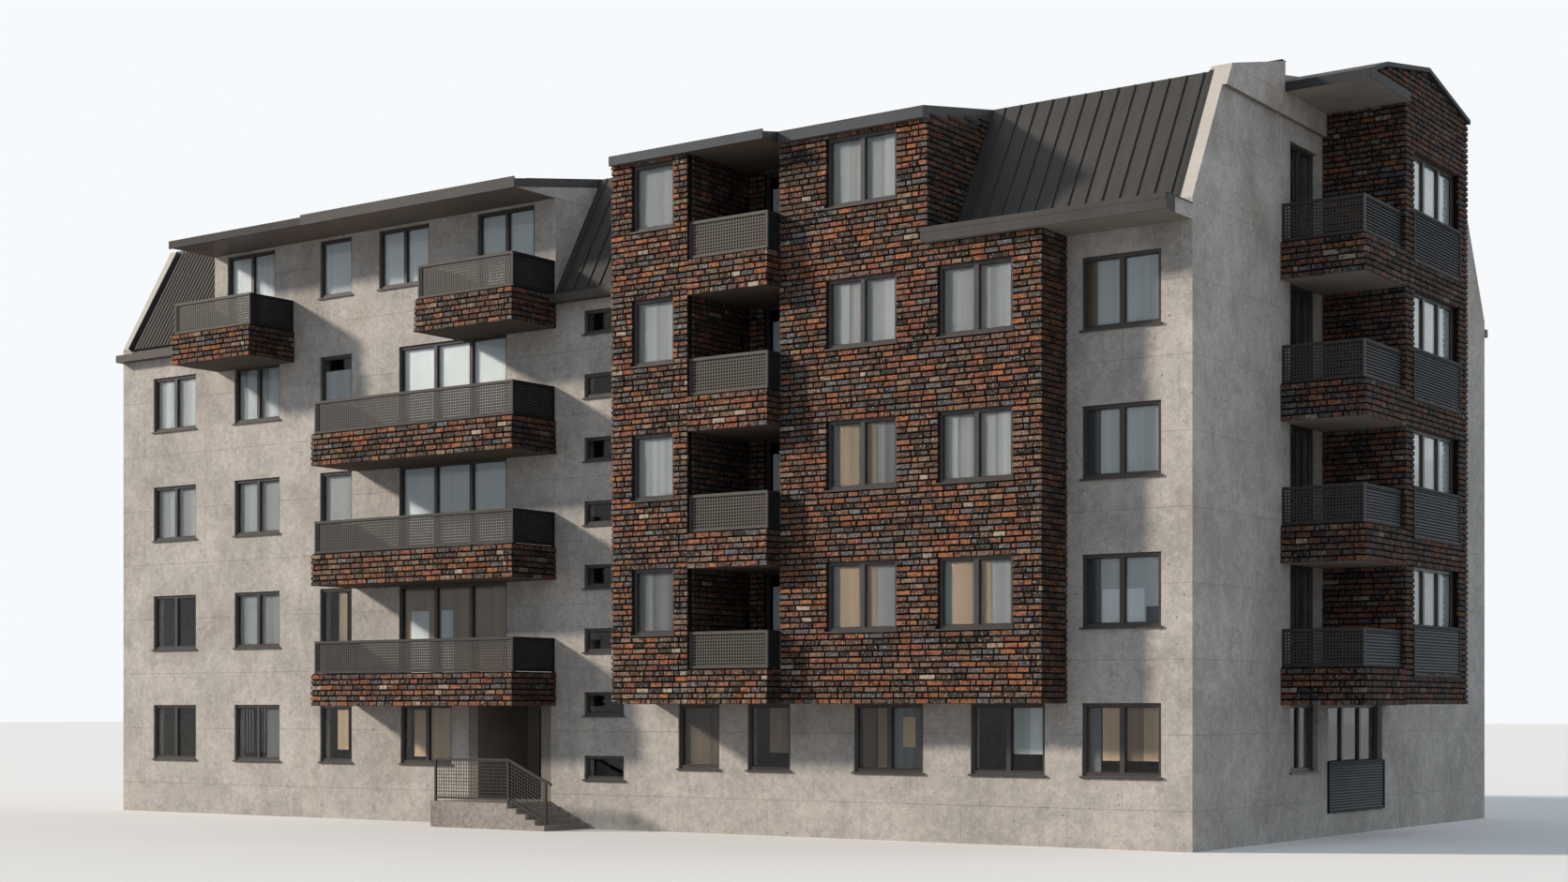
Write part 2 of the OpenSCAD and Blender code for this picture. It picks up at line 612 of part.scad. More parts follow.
module steep_stretch(x0, x1, foot_z) on_left(x0) linear_extrude(x1 - x0)
    polygon([[0, foot_z], [0, kerb_z], [steep_run, break_z], [steep_run, roof_under(steep_run)],
        [steep_inner_y, roof_under(steep_inner_y)], [steep_t, kerb_z], [steep_t, foot_z]]);

module mansard_front() color("dimgray") placed() {
    steep_stretch(inner_x0, dormer_x0, level(attic));
    steep_stretch(dormer_x1, tower_x0, level(attic));
    steep_stretch(block_attic_x1, inner_x1, eave_z + eave_t);
}

module mansard_rear() color("dimgray") placed() translate([0, body_depth, 0]) mirror([0, 1, 0]) {
    steep_stretch(inner_x0, rear_dormer_inset, level(attic));
    steep_stretch(body_len - rear_dormer_inset, inner_x1, level(attic));
}

module right_eave_slab() color("silver") placed() translate([0, 0, eave_z]) linear_extrude(eave_t)
    polygon([[block_attic_x1, -eave_d + edge_t], [body_len, -eave_d + edge_t], [body_len, 0], [inner_x1, 0],
        [inner_x1, wall_t], [block_attic_x1, wall_t]]);

module bay_roof() color("dimgray") placed() on_left(body_len) linear_extrude(bay_roof_x1 - body_len)
    polygon([[gable_balcony_y0, canopy_z + canopy_t], [canopy_front_y, canopy_z + canopy_t],
        [canopy_front_y, bay_roof_z(canopy_front_y) - bay_roof_t],
        [bay_bend_y, roof_z(bay_bend_y) - bay_roof_t], [bay_ridge_y, roof_z(bay_ridge_y) - bay_roof_t],
        [bay_y1, bay_roof_z(bay_y1) - bay_roof_t], [bay_y1, bay_roof_z(bay_y1)],
        [bay_ridge_y, roof_z(bay_ridge_y)], [bay_bend_y, roof_z(bay_bend_y)]]);

module gable_canopy() color("silver") placed() translate([body_len, gable_balcony_y0, canopy_z])
    cube([bay_roof_x1 - body_len, bay_y0 - gable_balcony_y0, canopy_t]);

module gutter(x0, x1) translate([x0, 0, level(attic) + gutter_lift - gutter_h]) difference() {
    translate([0, -gutter_d, 0]) cube([x1 - x0, gutter_d, gutter_h]);
    translate([edge_t, edge_t - gutter_d, edge_t]) cube([x1 - x0 - 2 * edge_t, gutter_d - 2 * edge_t, gutter_h]);
}

module gutters() color("dimgray") placed() {
    gutter(0, dormer_x0);
    gutter(dormer_x1, tower_x0);
    translate([0, body_depth, 0]) mirror([0, 1, 0]) {
        gutter(0, rear_dormer_inset);
        gutter(body_len - rear_dormer_inset, body_len);
    }
}

module edge_strip(x0, x1, y, z) translate([x0, y, z]) cube([x1 - x0, edge_t, roof_t]);

module roof_edges() color("gray") placed() {
    edge_strip(dormer_x0 - dormer_lug, dormer_x1, -dormer_reach - edge_t, soffit_z);
    edge_strip(tower_x0, block_x0, tower_y - brick_reach, soffit_z);
    edge_strip(block_x0 + edge_t, block_attic_x1, block_y - brick_reach, soffit_z);
    edge_strip(block_attic_x1 - eave_lug, body_len, -eave_d, eave_z);
    edge_strip(rear_dormer_inset, body_len - rear_dormer_inset, body_depth + rear_reach - edge_t, soffit_z);
}

// Balconies
// A tray with brick-clad sides, open to the wall at the back
module balcony_tray(w, d) {
    for (x = [0, w - apron_t]) translate([x, 0, 0]) cube([apron_t, d, apron_h]);
    cube([w, apron_t, apron_h]);
    cube([w, d, closing_t]);
    translate([0, 0, apron_drop - slab_t]) cube([w, d, slab_t - paving_t]);
}

module balcony_at(x0, x1, k) translate([x0, -balcony_d, apron_z(k)]) balcony_tray(x1 - x0, balcony_d);

module front_balconies() color("sienna") placed() {
    for (k = [1:3]) balcony_at(wide_balcony_x0, balcony_x1, k);
    balcony_at(corner_balcony_x0, corner_balcony_x1, attic);
    balcony_at(attic_balcony_x0, balcony_x1, attic);
}

gable_balcony_w = bay_y0 - gable_balcony_y0;
module gable_balconies() color("sienna") placed() for (k = [1:4])
    translate([body_len, gable_balcony_y0, apron_z(k)]) {
        translate([bay_d - apron_t, 0, 0]) cube([apron_t, gable_balcony_w, apron_h]);
        cube([bay_d, apron_t, apron_h]);
        cube([bay_d, gable_balcony_w, closing_t]);
        translate([0, 0, apron_drop - slab_t]) cube([bay_d, gable_balcony_w, slab_t - paving_t]);
    }

// A straight railing of the given length: rails, posts and an infill sheet, along X
module railing(len) {
    posts = ceil(len / post_step);
    gap = (len - rail_w) / posts;
    translate([0, 0, rail_gap]) cube([len, rail_w, rail_w]);
    translate([0, 0, rail_h - rail_w]) cube([len, rail_w, rail_w]);
    for (i = [0:posts]) translate([i * gap, 0, 0]) cube([rail_w, rail_w, rail_h]);
    translate([0, (rail_w - infill_t) / 2, rail_gap]) cube([len, infill_t, rail_h - rail_gap - rail_w / 2]);
}

// Railing round a balcony: along its front and back to the wall at the sides that are open
rail_in = (apron_t - rail_w) / 2;
module railing_round(w, d, left, right) {
    translate([left ? rail_in : 0, rail_in, 0]) railing(w - (left ? rail_in : 0) - (right ? rail_in : 0));
    if (left) translate([rail_in + rail_w, rail_in, 0]) rotate([0, 0, 90]) railing(d - rail_in);
    if (right) translate([w - rail_in, rail_in, 0]) rotate([0, 0, 90]) railing(d - rail_in);
}

module rails_at(x0, x1, k) translate([x0, -balcony_d, apron_z(k) + apron_h])
    railing_round(x1 - x0, balcony_d, true, true);

module front_balcony_rails() color("dimgray") placed() {
    for (k = [1:3]) rails_at(wide_balcony_x0, balcony_x1, k);
    rails_at(corner_balcony_x0, corner_balcony_x1, attic);
    rails_at(attic_balcony_x0, balcony_x1, attic);
}

module loggia_rails() color("dimgray") placed() for (k = [1:4])
    translate([pier_x1, tower_y, apron_z(k) + apron_h])
        railing_round(block_x0 - pier_x1, tower_d - block_d, false, true);

module gable_balcony_rails() color("dimgray") placed() for (k = [1:4])
    translate([body_len, gable_balcony_y0, apron_z(k) + apron_h])
        railing_round(bay_d, gable_balcony_w, false, true);

// A frame in front of a window, with slats between its upright sides
module louvre_panel(w) translate([w[0] - louvre_lug, w[1] - louvre_drop, -louvre_t]) {
    panel_w = w[2] + 2 * louvre_lug;
    panel_h = louvre_rise + louvre_drop;
    inner_h = panel_h - 2 * rail_w;
    slat_step = (inner_h + slat_h) / (slat_count + 1);
    linear_extrude(louvre_t) difference() {
        square([panel_w, panel_h]);
        translate([rail_w, rail_w]) square([panel_w - 2 * rail_w, inner_h]);
    }
    for (i = [1:slat_count]) translate([rail_w / 2, rail_w + i * slat_step - slat_h, (louvre_t - slat_t) / 2])
        cube([panel_w - rail_w, slat_h, slat_t]);
}

module louvre_panels() color("dimgray") placed() {
    on_right(bay_x1) for (w = bay_windows) louvre_panel(w);
    on_right(body_len) for (w = terrace_windows) louvre_panel(w);
}

// Windows and doors
street_windows = concat(ground_left_windows, front_left_windows, attic_front_windows, stair_windows,
    front_right_windows, ground_right_windows);

module street_frames() color("darkslategray") placed() {
    on_front(0) window_frames(street_windows);
    on_front(tower_y) window_frames(tower_windows);
    on_front(block_y) window_frames(block_windows);
    on_front(loggia_back) window_frames(loggia_doors);
}

module street_glass() color("lightsteelblue") placed() {
    on_front(0) window_glass(street_windows);
    on_front(tower_y) window_glass(tower_windows);
    on_front(block_y) window_glass(block_windows);
    on_front(loggia_back) window_glass(loggia_doors);
}

module gable_frames() color("darkslategray") placed() {
    on_right(body_len) window_frames(gable_door_windows, gable_reveal);
    on_right(body_len) window_frames(terrace_windows, gable_reveal);
    on_right(bay_x1) window_frames(bay_windows, gable_reveal);
    on_left(0) window_frames(gable_left_windows, gable_reveal);
}

module gable_glass() color("lightsteelblue") placed() {
    on_right(body_len) window_glass(gable_door_windows, gable_reveal);
    on_right(body_len) window_glass(terrace_windows, gable_reveal);
    on_right(bay_x1) window_glass(bay_windows, gable_reveal);
    on_left(0) window_glass(gable_left_windows, gable_reveal);
}

module rear_frames() color("darkslategray") placed() on_rear(body_depth) {
    window_frames(rear_windows);
    window_frames(attic_rear_windows);
}

module rear_glass() color("lightsteelblue") placed() on_rear(body_depth) {
    window_glass(rear_windows);
    window_glass(attic_rear_windows);
}

module window_sills() color("darkslategray") placed() {
    on_front(0) sills([for (w = street_windows) if (w[3] < head_h) w]);
    on_front(tower_y) sills(tower_windows);
    on_front(block_y) sills(block_windows);
    on_right(body_len) sills([gable_door_windows[0]]);
    on_rear(body_depth) sills(concat(rear_windows, attic_rear_windows));
    on_left(0) sills(gable_left_windows);
}

// Entrance
entry_x = (recess_x0 + recess_x1) / 2;

module entrance_porch() color("silver") placed() difference() {
    translate([porch_x0, 0, 0]) cube([porch_x1 - porch_x0, recess_d + recess_wall_t, ceiling_z(0)]);
    translate([recess_x0, -1, level(0)]) cube([recess_x1 - recess_x0, recess_d + 1, head_h]);
    translate([entry_x - entry_door_w / 2, recess_d - 1, level(0)])
        cube([entry_door_w, recess_wall_t + 2, entry_door_h]);
}

module entrance_door() color("dimgray") placed()
    translate([entry_x - entry_door_w / 2, recess_d + reveal, level(0)])
        cube([entry_door_w, entry_door_t, entry_door_h]);

platform_x0 = recess_x0 - platform_lug;
module entrance_platform() color("silver") placed() translate([platform_x0, -platform_d, 0])
    cube([porch_x1 - platform_x0, platform_d, level(0)]);

riser = level(0) / step_count;
module entrance_steps() color("silver") placed() on_front(-platform_d) linear_extrude(platform_d)
    polygon(concat([[porch_x1, 0]],
        [for (i = [1:step_count - 1]) each
            [[porch_x1 + (i - 1) * tread, (step_count - i) * riser], [porch_x1 + i * tread, (step_count - i) * riser]]],
        [[porch_x1 + (step_count - 1) * tread, 0]]));

// Railing on the platform's edge and down the steps
entry_rail_x0 = platform_x0 + rail_foot;
entry_rail_x1 = porch_x1 + (step_count - 1) * tread;
flight_slope = (level(0) - riser) / (entry_rail_x1 - porch_x1);

// A band from height z0 to z1 above the platform and the flight, shortened at both ends
module entry_band(z0, z1, inset) polygon([
    [entry_rail_x0 + inset, level(0) + z0], [entry_rail_x0 + inset, level(0) + z1],
    [porch_x1, level(0) + z1], [entry_rail_x1 - inset, riser + inset * flight_slope + z1],
    [entry_rail_x1 - inset, riser + inset * flight_slope + z0], [porch_x1, level(0) + z0]]);

module entrance_rail() color("dimgray") placed() on_front(-platform_d + rail_foot) {
    linear_extrude(rail_w) union() {
        entry_band(entry_rail_h - rail_w, entry_rail_h, 0);
        entry_band(rail_foot, rail_foot + rail_w, 0);
        for (x = [entry_rail_x0, porch_x1 - rail_w]) translate([x, level(0)])
            square([rail_w, entry_rail_h - rail_w / 2]);
        translate([entry_rail_x1 - rail_w, riser]) square([rail_w, entry_rail_h - rail_w / 2]);
    }
    translate([0, 0, (rail_w - infill_t) / 2]) linear_extrude(infill_t)
        entry_band(rail_foot + rail_w / 2, entry_rail_h - rail_w / 2, rail_w / 2);
}

ground_wall_left();
ground_wall_right();
front_wall_left();
front_wall_right();
stair_wall();
attic_wall_front();
attic_wall_rear();
rear_wall();
gable_wall_left();
gable_wall_right();
brick_tower_wall();
brick_block_wall();
gable_bay_wall();
loggia_walls();
loggia_aprons();
brick_soffit();
floor_ground();
upper_floors();
roof_front();
roof_rear();
mansard_front();
mansard_rear();
bay_roof();
gable_canopy();
right_eave_slab();
gutters();
roof_edges();
front_balconies();
gable_balconies();
front_balcony_rails();
loggia_rails();
gable_balcony_rails();
louvre_panels();
street_frames();
gable_frames();
rear_frames();
window_sills();
street_glass();
gable_glass();
rear_glass();
entrance_porch();
entrance_door();
entrance_platform();
entrance_steps();
entrance_rail();
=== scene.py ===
"""Apartment block with brick oriels and a metal mansard roof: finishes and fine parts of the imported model."""
import math
import random

import bpy
from bpy.props import FloatProperty, FloatVectorProperty, IntProperty, PointerProperty
from mathutils import Matrix, Vector


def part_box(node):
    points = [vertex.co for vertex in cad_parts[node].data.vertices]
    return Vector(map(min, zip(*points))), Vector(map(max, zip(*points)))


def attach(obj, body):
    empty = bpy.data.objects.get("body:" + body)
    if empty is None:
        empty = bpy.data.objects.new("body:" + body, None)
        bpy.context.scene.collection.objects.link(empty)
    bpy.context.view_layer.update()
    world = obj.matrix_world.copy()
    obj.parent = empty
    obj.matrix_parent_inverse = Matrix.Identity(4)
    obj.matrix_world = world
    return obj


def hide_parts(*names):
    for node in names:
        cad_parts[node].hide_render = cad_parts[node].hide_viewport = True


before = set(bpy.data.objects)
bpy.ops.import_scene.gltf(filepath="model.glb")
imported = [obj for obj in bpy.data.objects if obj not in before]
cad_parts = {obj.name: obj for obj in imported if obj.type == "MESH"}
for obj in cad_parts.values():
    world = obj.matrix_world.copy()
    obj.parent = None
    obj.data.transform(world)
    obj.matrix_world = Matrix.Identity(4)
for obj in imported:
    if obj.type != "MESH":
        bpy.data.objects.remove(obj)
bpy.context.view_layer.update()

bl_info = {
    "name": "Apartment block",
    "version": (1, 0, 0),
    "blender": (4, 5, 0),
    "location": "3D View > Sidebar > Block",
    "description": "Lays the bricks, seams, railings, windows and finishes of an apartment block",
    "category": "Object",
}

# The front's left end on the ground, from which the building is measured
FRONT_LEFT = Vector((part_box("gable_wall_left")[0].x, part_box("ground_wall_left")[0].y, 0.0))
STOREY = 2.9
ATTIC = 4
GROUND_FLOOR = 0.6


def level(k):
    """Height of a floor above the ground."""
    return GROUND_FLOOR + k * STOREY


def local(node):
    """A node's box, measured from the front's left end."""
    low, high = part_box(node)
    return low - FRONT_LEFT, high - FRONT_LEFT


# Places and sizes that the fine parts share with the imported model
LENGTH = local("gutters")[1].x
TOWER_X0, PIER_X1 = local("brick_tower_wall")[0].x, local("brick_tower_wall")[1].x
BLOCK_X0, BLOCK_X1 = local("brick_block_wall")[0].x, local("brick_block_wall")[1].x
BLOCK_ATTIC_X1 = local("right_eave_slab")[0].x
DORMER_X0, DORMER_X1 = local("attic_wall_front")[0].x, local("attic_wall_front")[1].x
REAR_DORMER_X0, REAR_DORMER_X1 = local("attic_wall_rear")[0].x, local("attic_wall_rear")[1].x
TOWER_Y, BLOCK_Y = local("brick_tower_wall")[0].y, local("brick_block_wall")[0].y
LOGGIA_Y = 0.7
BRICK_Z = local("brick_tower_wall")[0].z
SOFFIT_Z = local("roof_front")[0].z
KERB_Z = level(ATTIC) + 0.15
STEEP_RUN = 1.63
ROOF_RISE = 0.18
ROOF_T = 0.2
DORMER_REACH = 1.36
DORMER_JOINT = 4.76
ROOF_EDGE_T = 0.03
ORIEL_EAVE = 0.12
REAR_EDGE_Y = local("roof_rear")[1].y
DEPTH = local("rear_wall")[1].y
RIDGE_Y = DEPTH / 2
BAY_Y0, BAY_Y1 = local("gable_balconies")[1].y, local("gable_bay_wall")[1].y
BAY_X1 = local("gable_bay_wall")[1].x
EAVE_Z = local("right_eave_slab")[0].z
EAVE_T = 0.3
EAVE_TOP = EAVE_Z + EAVE_T + 0.05
CANOPY_Z = local("gable_canopy")[0].z
CANOPY_TOP = local("gable_canopy")[1].z
GABLE_BALCONY_Y0 = local("gable_balconies")[0].y
APRON_DROP, APRON_RISE, APRON_T = 0.7, 0.07, 0.15
APRON_COURSES = 6
WALL_T = 0.35
BAY_RIDGE_Y = BAY_Y0 + 1.2
BAY_BEND_Y = GABLE_BALCONY_Y0 + 0.96
BAY_FALL = 0.22
BAY_ROOF_T = 0.09
PARAPET_END_Y = GABLE_BALCONY_Y0 + 0.18
PARAPET_END_H = 0.27
PARAPET_H = 0.08
OUTWARD = {"front": 0.0, "right": math.pi / 2, "rear": math.pi, "left": -math.pi / 2}
SILL_T, SILL_LUG, SILL_GAP = 0.035, 0.04, 0.004
TINY = 1e-6


def at(x, y, z):
    """A point of the building in the model's frame."""
    return FRONT_LEFT + Vector((x, y, z))


def beside(side, plane, u, z, out):
    """A point at (u, z) of one side, a distance out of a plane. u is the building's x or y."""
    if side in ("front", "rear"):
        return at(u, plane + (out if side == "rear" else -out), z)
    return at(plane + (out if side == "right" else -out), u, z)


def turned(place, turn):
    """Takes a piece from the origin to its place, turned about the vertical."""
    return Matrix.Translation(place) @ Matrix.Rotation(turn, 4, "Z")


def roof_z(y):
    """Height of the upper roof at a distance y behind the street front."""
    return SOFFIT_Z + ROOF_T + ROOF_RISE * (min(y, DEPTH - y) + DORMER_REACH)


BREAK_Z = roof_z(STEEP_RUN)


def under_roof_y(z):
    """Distance behind the street front at which the upper roof's underside is at height z."""
    return (z - SOFFIT_Z) / ROOF_RISE - DORMER_REACH


def steep_y(z):
    """Distance of the steep slope's face behind the street front at height z."""
    return max(0.0, (z - KERB_Z) * STEEP_RUN / (BREAK_Z - KERB_Z))


# Settings


def metres(name, description, default):
    """A length that a user may change."""
    return FloatProperty(name=name, description=description, default=default, unit="LENGTH")


def degrees(name, description, default):
    """An angle that a user may change."""
    return FloatProperty(name=name, description=description, default=math.radians(default), subtype="ANGLE")


def paint(name, description, default):
    """A colour that a user may change."""
    return FloatVectorProperty(name=name, description=description, subtype="COLOR", size=3, default=default)


class BrickSettings(bpy.types.PropertyGroup):
    """Sizes of the brickwork."""

    course: metres("Course", "Height of a brick and one joint", STOREY / 24)
    joint: metres("Joint", "Width of the joints", 0.032)
    proud: metres("Proud", "Distance that the bricks stand out of the mortar", 0.03)
    uneven: metres("Uneven", "Distance between the faces of neighbouring bricks", 0.018)
    depth: metres("Depth", "Depth of a brick", 0.055)
    shortest: metres("Shortest", "Length of the shortest brick", 0.21)
    longest: metres("Longest", "Length of the longest brick", 0.37)
    roughness: metres("Roughness", "Distance that a brick's faces wander", 0.018)
    seed: IntProperty(name="Seed", description="Start of the random lengths and tones", default=7)


class RoofSettings(bpy.types.PropertyGroup):
    """Sizes of the sheet metal."""

    pitch: metres("Pitch", "Distance between the roof's seams", 0.3735)
    first: metres("First seam", "Distance of the first seam from a roof's right end", 0.16)
    rib_pitch: metres("Rib pitch", "Distance between the ribs left of the dormer", 0.143)
    seam_height: metres("Seam height", "Height of a seam", 0.024)
    seam_back: metres("Seam start", "Distance of the upper roof's seams behind its edge", 0.5)
    seam_width: metres("Seam width", "Width of a seam", 0.016)
    metal: paint("Metal", "Colour of the roof sheets", (0.056, 0.054, 0.053))


class RailingSettings(bpy.types.PropertyGroup):
    """Sizes of the railings and their infill."""

    pitch: metres("Pitch", "Distance between the holes", 0.072)
    web: metres("Web", "Width of the metal between holes", 0.045)
    side_web: metres("Side web", "Width of the metal between the holes of the sides", 0.058)
    screen_web: metres("Screen web", "Width of the metal between the loggias' holes", 0.031)
    sheet: metres("Sheet", "Thickness of the infill", 0.004)
    slat_pitch: metres("Slat pitch", "Distance between slats", 0.06)
    slat_depth: metres("Slat depth", "Depth of a slat", 0.05)
    slat_sheet: metres("Slat sheet", "Thickness of a slat", 0.006)
    slat_tilt: degrees("Slat tilt", "Slope of a slat", 56)
    metal: paint("Metal", "Colour of the railings", (0.045, 0.041, 0.0385))


class WindowSettings(bpy.types.PropertyGroup):
    """Sizes and colours of sashes and blinds."""

    sash_width: metres("Sash width", "Width of a sash's members", 0.02)
    sash_depth: metres("Sash depth", "Depth of a sash", 0.03)
    blind_gap: metres("Blind gap", "Distance of the blinds behind the glass's outer face", 0.031)
    slat: metres("Slat", "Width of a blind's slats", 0.11)
    turn: degrees("Turn", "Angle of a blind's slats", 4)
    frame_colour: paint("Frames", "Colour of the frames", (0.052, 0.047, 0.044))
    # The blinds' pale bluish white is partly their own colour and partly a painted reflection of the sky on the
    # glass
    blind_and_sky_colour: paint("Blinds", "Colour of the white blinds", (0.83, 0.87, 0.90))
    seed: IntProperty(name="Seed", description="Start of the random choice of blinds", default=11)


class ConcreteSettings(bpy.types.PropertyGroup):
    """Colours and panel sizes of the concrete."""

    light: paint("Light", "Colour of clean concrete", (0.62, 0.583, 0.545))
    dark: paint("Dark", "Colour of stained concrete", (0.43, 0.405, 0.38))
    panel: metres("Panel", "Width of a formwork panel", 2.42)


SETTINGS = {
    "block_bricks": BrickSettings,
    "block_roof": RoofSettings,
    "block_railings": RailingSettings,
    "block_windows": WindowSettings,
    "block_concrete": ConcreteSettings,
}

# Node trees


class Nodes:
    """Adds nodes to a tree and links their sockets."""

    def __init__(self, tree):
        self.tree = tree

    def add(self, kind, inputs=None, **settings):
        node = self.tree.nodes.new(kind)
        for key, value in settings.items():
            setattr(node, key, value)
        for key, value in (inputs or {}).items():
            if isinstance(value, bpy.types.NodeSocket):
                self.tree.links.new(value, node.inputs[key])
            else:
                node.inputs[key].default_value = value
        return node

    def math(self, operation, a, b=0.0):
        return self.add("ShaderNodeMath", {0: a, 1: b}, operation=operation).outputs[0]

    def plus(self, a, b):
        return self.math("ADD", a, b)

    def minus(self, a, b):
        return self.math("SUBTRACT", a, b)

    def times(self, a, b):
        return self.math("MULTIPLY", a, b)

    def vector(self, operation, a, b):
        return self.add("ShaderNodeVectorMath", {0: a, 1: b}, operation=operation).outputs[0]

    def xyz(self, vector):
        return self.add("ShaderNodeSeparateXYZ", {0: vector}).outputs

    def combine(self, x, y, z):
        return self.add("ShaderNodeCombineXYZ", {0: x, 1: y, 2: z}).outputs[0]


class Shader(Nodes):
    """A material in the making, with a Principled shader at its end."""

    def __init__(self, name, **constants):
        self.material = bpy.data.materials.new(name)
        self.material.use_nodes = True
        super().__init__(self.material.node_tree)
        self.surface = self.tree.nodes["Principled BSDF"]
        self.set(**constants)
        self.place = self.add("ShaderNodeTexCoord").outputs["Object"]

    def set(self, **values):
        for key, value in values.items():
            socket = self.surface.inputs[key.replace("_", " ")]
            if isinstance(value, bpy.types.NodeSocket):
                self.tree.links.new(value, socket)
            else:
                socket.default_value = value

    def stretched(self, scale):
        return self.vector("MULTIPLY", self.place, scale)

    def normal(self):
        """The flat face's normal, as X, Y and Z."""
        return self.xyz(self.add("ShaderNodeNewGeometry").outputs["True Normal"])

    def noise(self, scale, detail, rough, at=None, distort=0.0):
        inputs = {"Vector": at or self.place, "Scale": scale, "Detail": detail, "Roughness": rough}
        return self.add("ShaderNodeTexNoise", {**inputs, "Distortion": distort}).outputs["Fac"]

    def bands(self, factor, stops):
        """Colours without blends, each from its place on."""
        node = self.add("ShaderNodeValToRGB", {0: factor})
        node.color_ramp.interpolation = "CONSTANT"
        elements = node.color_ramp.elements
        while len(elements) < len(stops):
            elements.new(0.5)
        for element, (position, colour) in zip(elements, stops):
            element.position = position
            element.color = (*colour, 1.0)
        return node.outputs["Color"]

    def step(self, factor, low, high):
        return self.add("ShaderNodeMapRange", {0: factor, 1: low, 2: high}).outputs[0]

    def mix(self, factor, a, b, blend="MIX"):
        node = self.add("ShaderNodeMix", data_type="RGBA", blend_type=blend)
        for index, value in ((0, factor), (6, a), (7, b)):
            if isinstance(value, bpy.types.NodeSocket):
                self.tree.links.new(value, node.inputs[index])
            else:
                node.inputs[index].default_value = value if index == 0 else (*value[:3], 1.0)
        return node.outputs[2]

    def over(self, base, factor, strength, colour):
        """A base with a colour laid over it where a factor is high."""
        return self.mix(self.times(factor, strength), base, colour)

    def stain(self, base, pattern, low, high, strength, colour):
        """A base with a colour laid over it where a pattern goes from low to high."""
        return self.over(base, self.step(pattern, low, high), strength, colour)

    def lit(self, base, low, factor, strength):
        """A base made lighter or darker by a low value and a share of a factor."""
        value = self.plus(low, self.times(factor, strength))
        return self.mix(1.0, base, self.combine(value, value, value), "MULTIPLY")

    def bump(self, height, distance, strength):
        inputs = {"Height": height, "Distance": distance, "Strength": strength}
        return self.add("ShaderNodeBump", inputs).outputs[0]


def group(name, values):
    """A new Geometry Nodes tree with named inputs and their first values."""
    tree = bpy.data.node_groups.new(name, "GeometryNodeTree")
    tree.interface.new_socket("Geometry", in_out="INPUT", socket_type="NodeSocketGeometry")
    tree.interface.new_socket("Geometry", in_out="OUTPUT", socket_type="NodeSocketGeometry")
    for label, value in values.items():
        socket = tree.interface.new_socket(label, in_out="INPUT", socket_type="NodeSocketFloat")
        socket.default_value = value
    nodes = Nodes(tree)
    return nodes, nodes.add("NodeGroupInput").outputs, nodes.add("NodeGroupOutput").inputs


def grow(mesh, nodes, values):
    """The plain mesh that a Geometry Nodes tree makes of a mesh with the given values."""
    mesh.materials.append(nodes.material)
    carrier = bpy.data.objects.new("carrier", mesh)
    bpy.context.collection.objects.link(carrier)
    modifier = carrier.modifiers.new("Nodes", "NODES")
    modifier.node_group = nodes.tree
    for item in nodes.tree.interface.items_tree:
        if item.item_type == "SOCKET" and item.in_out == "INPUT" and item.name in values:
            modifier[item.identifier] = values[item.name]
    bpy.context.view_layer.update()
    evaluated = carrier.evaluated_get(bpy.context.evaluated_depsgraph_get())
    grown = bpy.data.meshes.new_from_object(evaluated)
    carrier.modifiers.clear()
    bpy.data.objects.remove(carrier)
    bpy.data.meshes.remove(mesh)
    return grown


def points_mesh(name, rows):
    """Points with the attributes size, turn and tone, from rows of (place, size, turn, tone)."""
    mesh = bpy.data.meshes.new(name)
    mesh.from_pydata([row[0] for row in rows], [], [])
    for index, key in ((1, "size"), (2, "turn")):
        attribute = mesh.attributes.new(key, "FLOAT_VECTOR", "POINT")
        attribute.data.foreach_set("vector", [v for row in rows for v in row[index]])
    mesh.attributes.new("tone", "FLOAT", "POINT").data.foreach_set("value", [row[3] for row in rows])
    return mesh


def bar(place, size, turn=(0.0, 0.0, 0.0), tone=0.5):
    """A row for points_mesh: one bar or sheet."""
    return place, size, turn, tone


def bars(name, rows, tree):
    """A plain mesh of bars and sheets."""
    return grow(points_mesh(name, rows), tree, {})


def instancer(name, values, shape):
    """A tree that sets one shape on each point, with the point's size and turn, as a plain mesh."""
    nodes, given, end = group(name, values)
    size = nodes.add("GeometryNodeInputNamedAttribute", {0: "size"}, data_type="FLOAT_VECTOR").outputs[0]
    turn = nodes.add("GeometryNodeInputNamedAttribute", {0: "turn"}, data_type="FLOAT_VECTOR").outputs[0]
    turn = nodes.add("FunctionNodeEulerToRotation", {0: turn}).outputs[0]
    copies = nodes.add("GeometryNodeInstanceOnPoints", {
        "Points": given["Geometry"], "Instance": shape(nodes, given), "Rotation": turn, "Scale": size,
    }).outputs[0]
    made = nodes.add("GeometryNodeRealizeInstances", {0: copies}).outputs[0]
    return nodes, given, made, end


def finish_tree(nodes, made, end, material):
    """Sets the material at a tree's end."""
    nodes.material = material
    made = nodes.add("GeometryNodeSetMaterial", {"Geometry": made, "Material": material}).outputs[0]
    nodes.tree.links.new(made, end[0])


def between(nodes, value, limit):
    """1 where a value lies nearer to 0 than the limit."""
    return nodes.math("LESS_THAN", nodes.math("ABSOLUTE", value), limit)


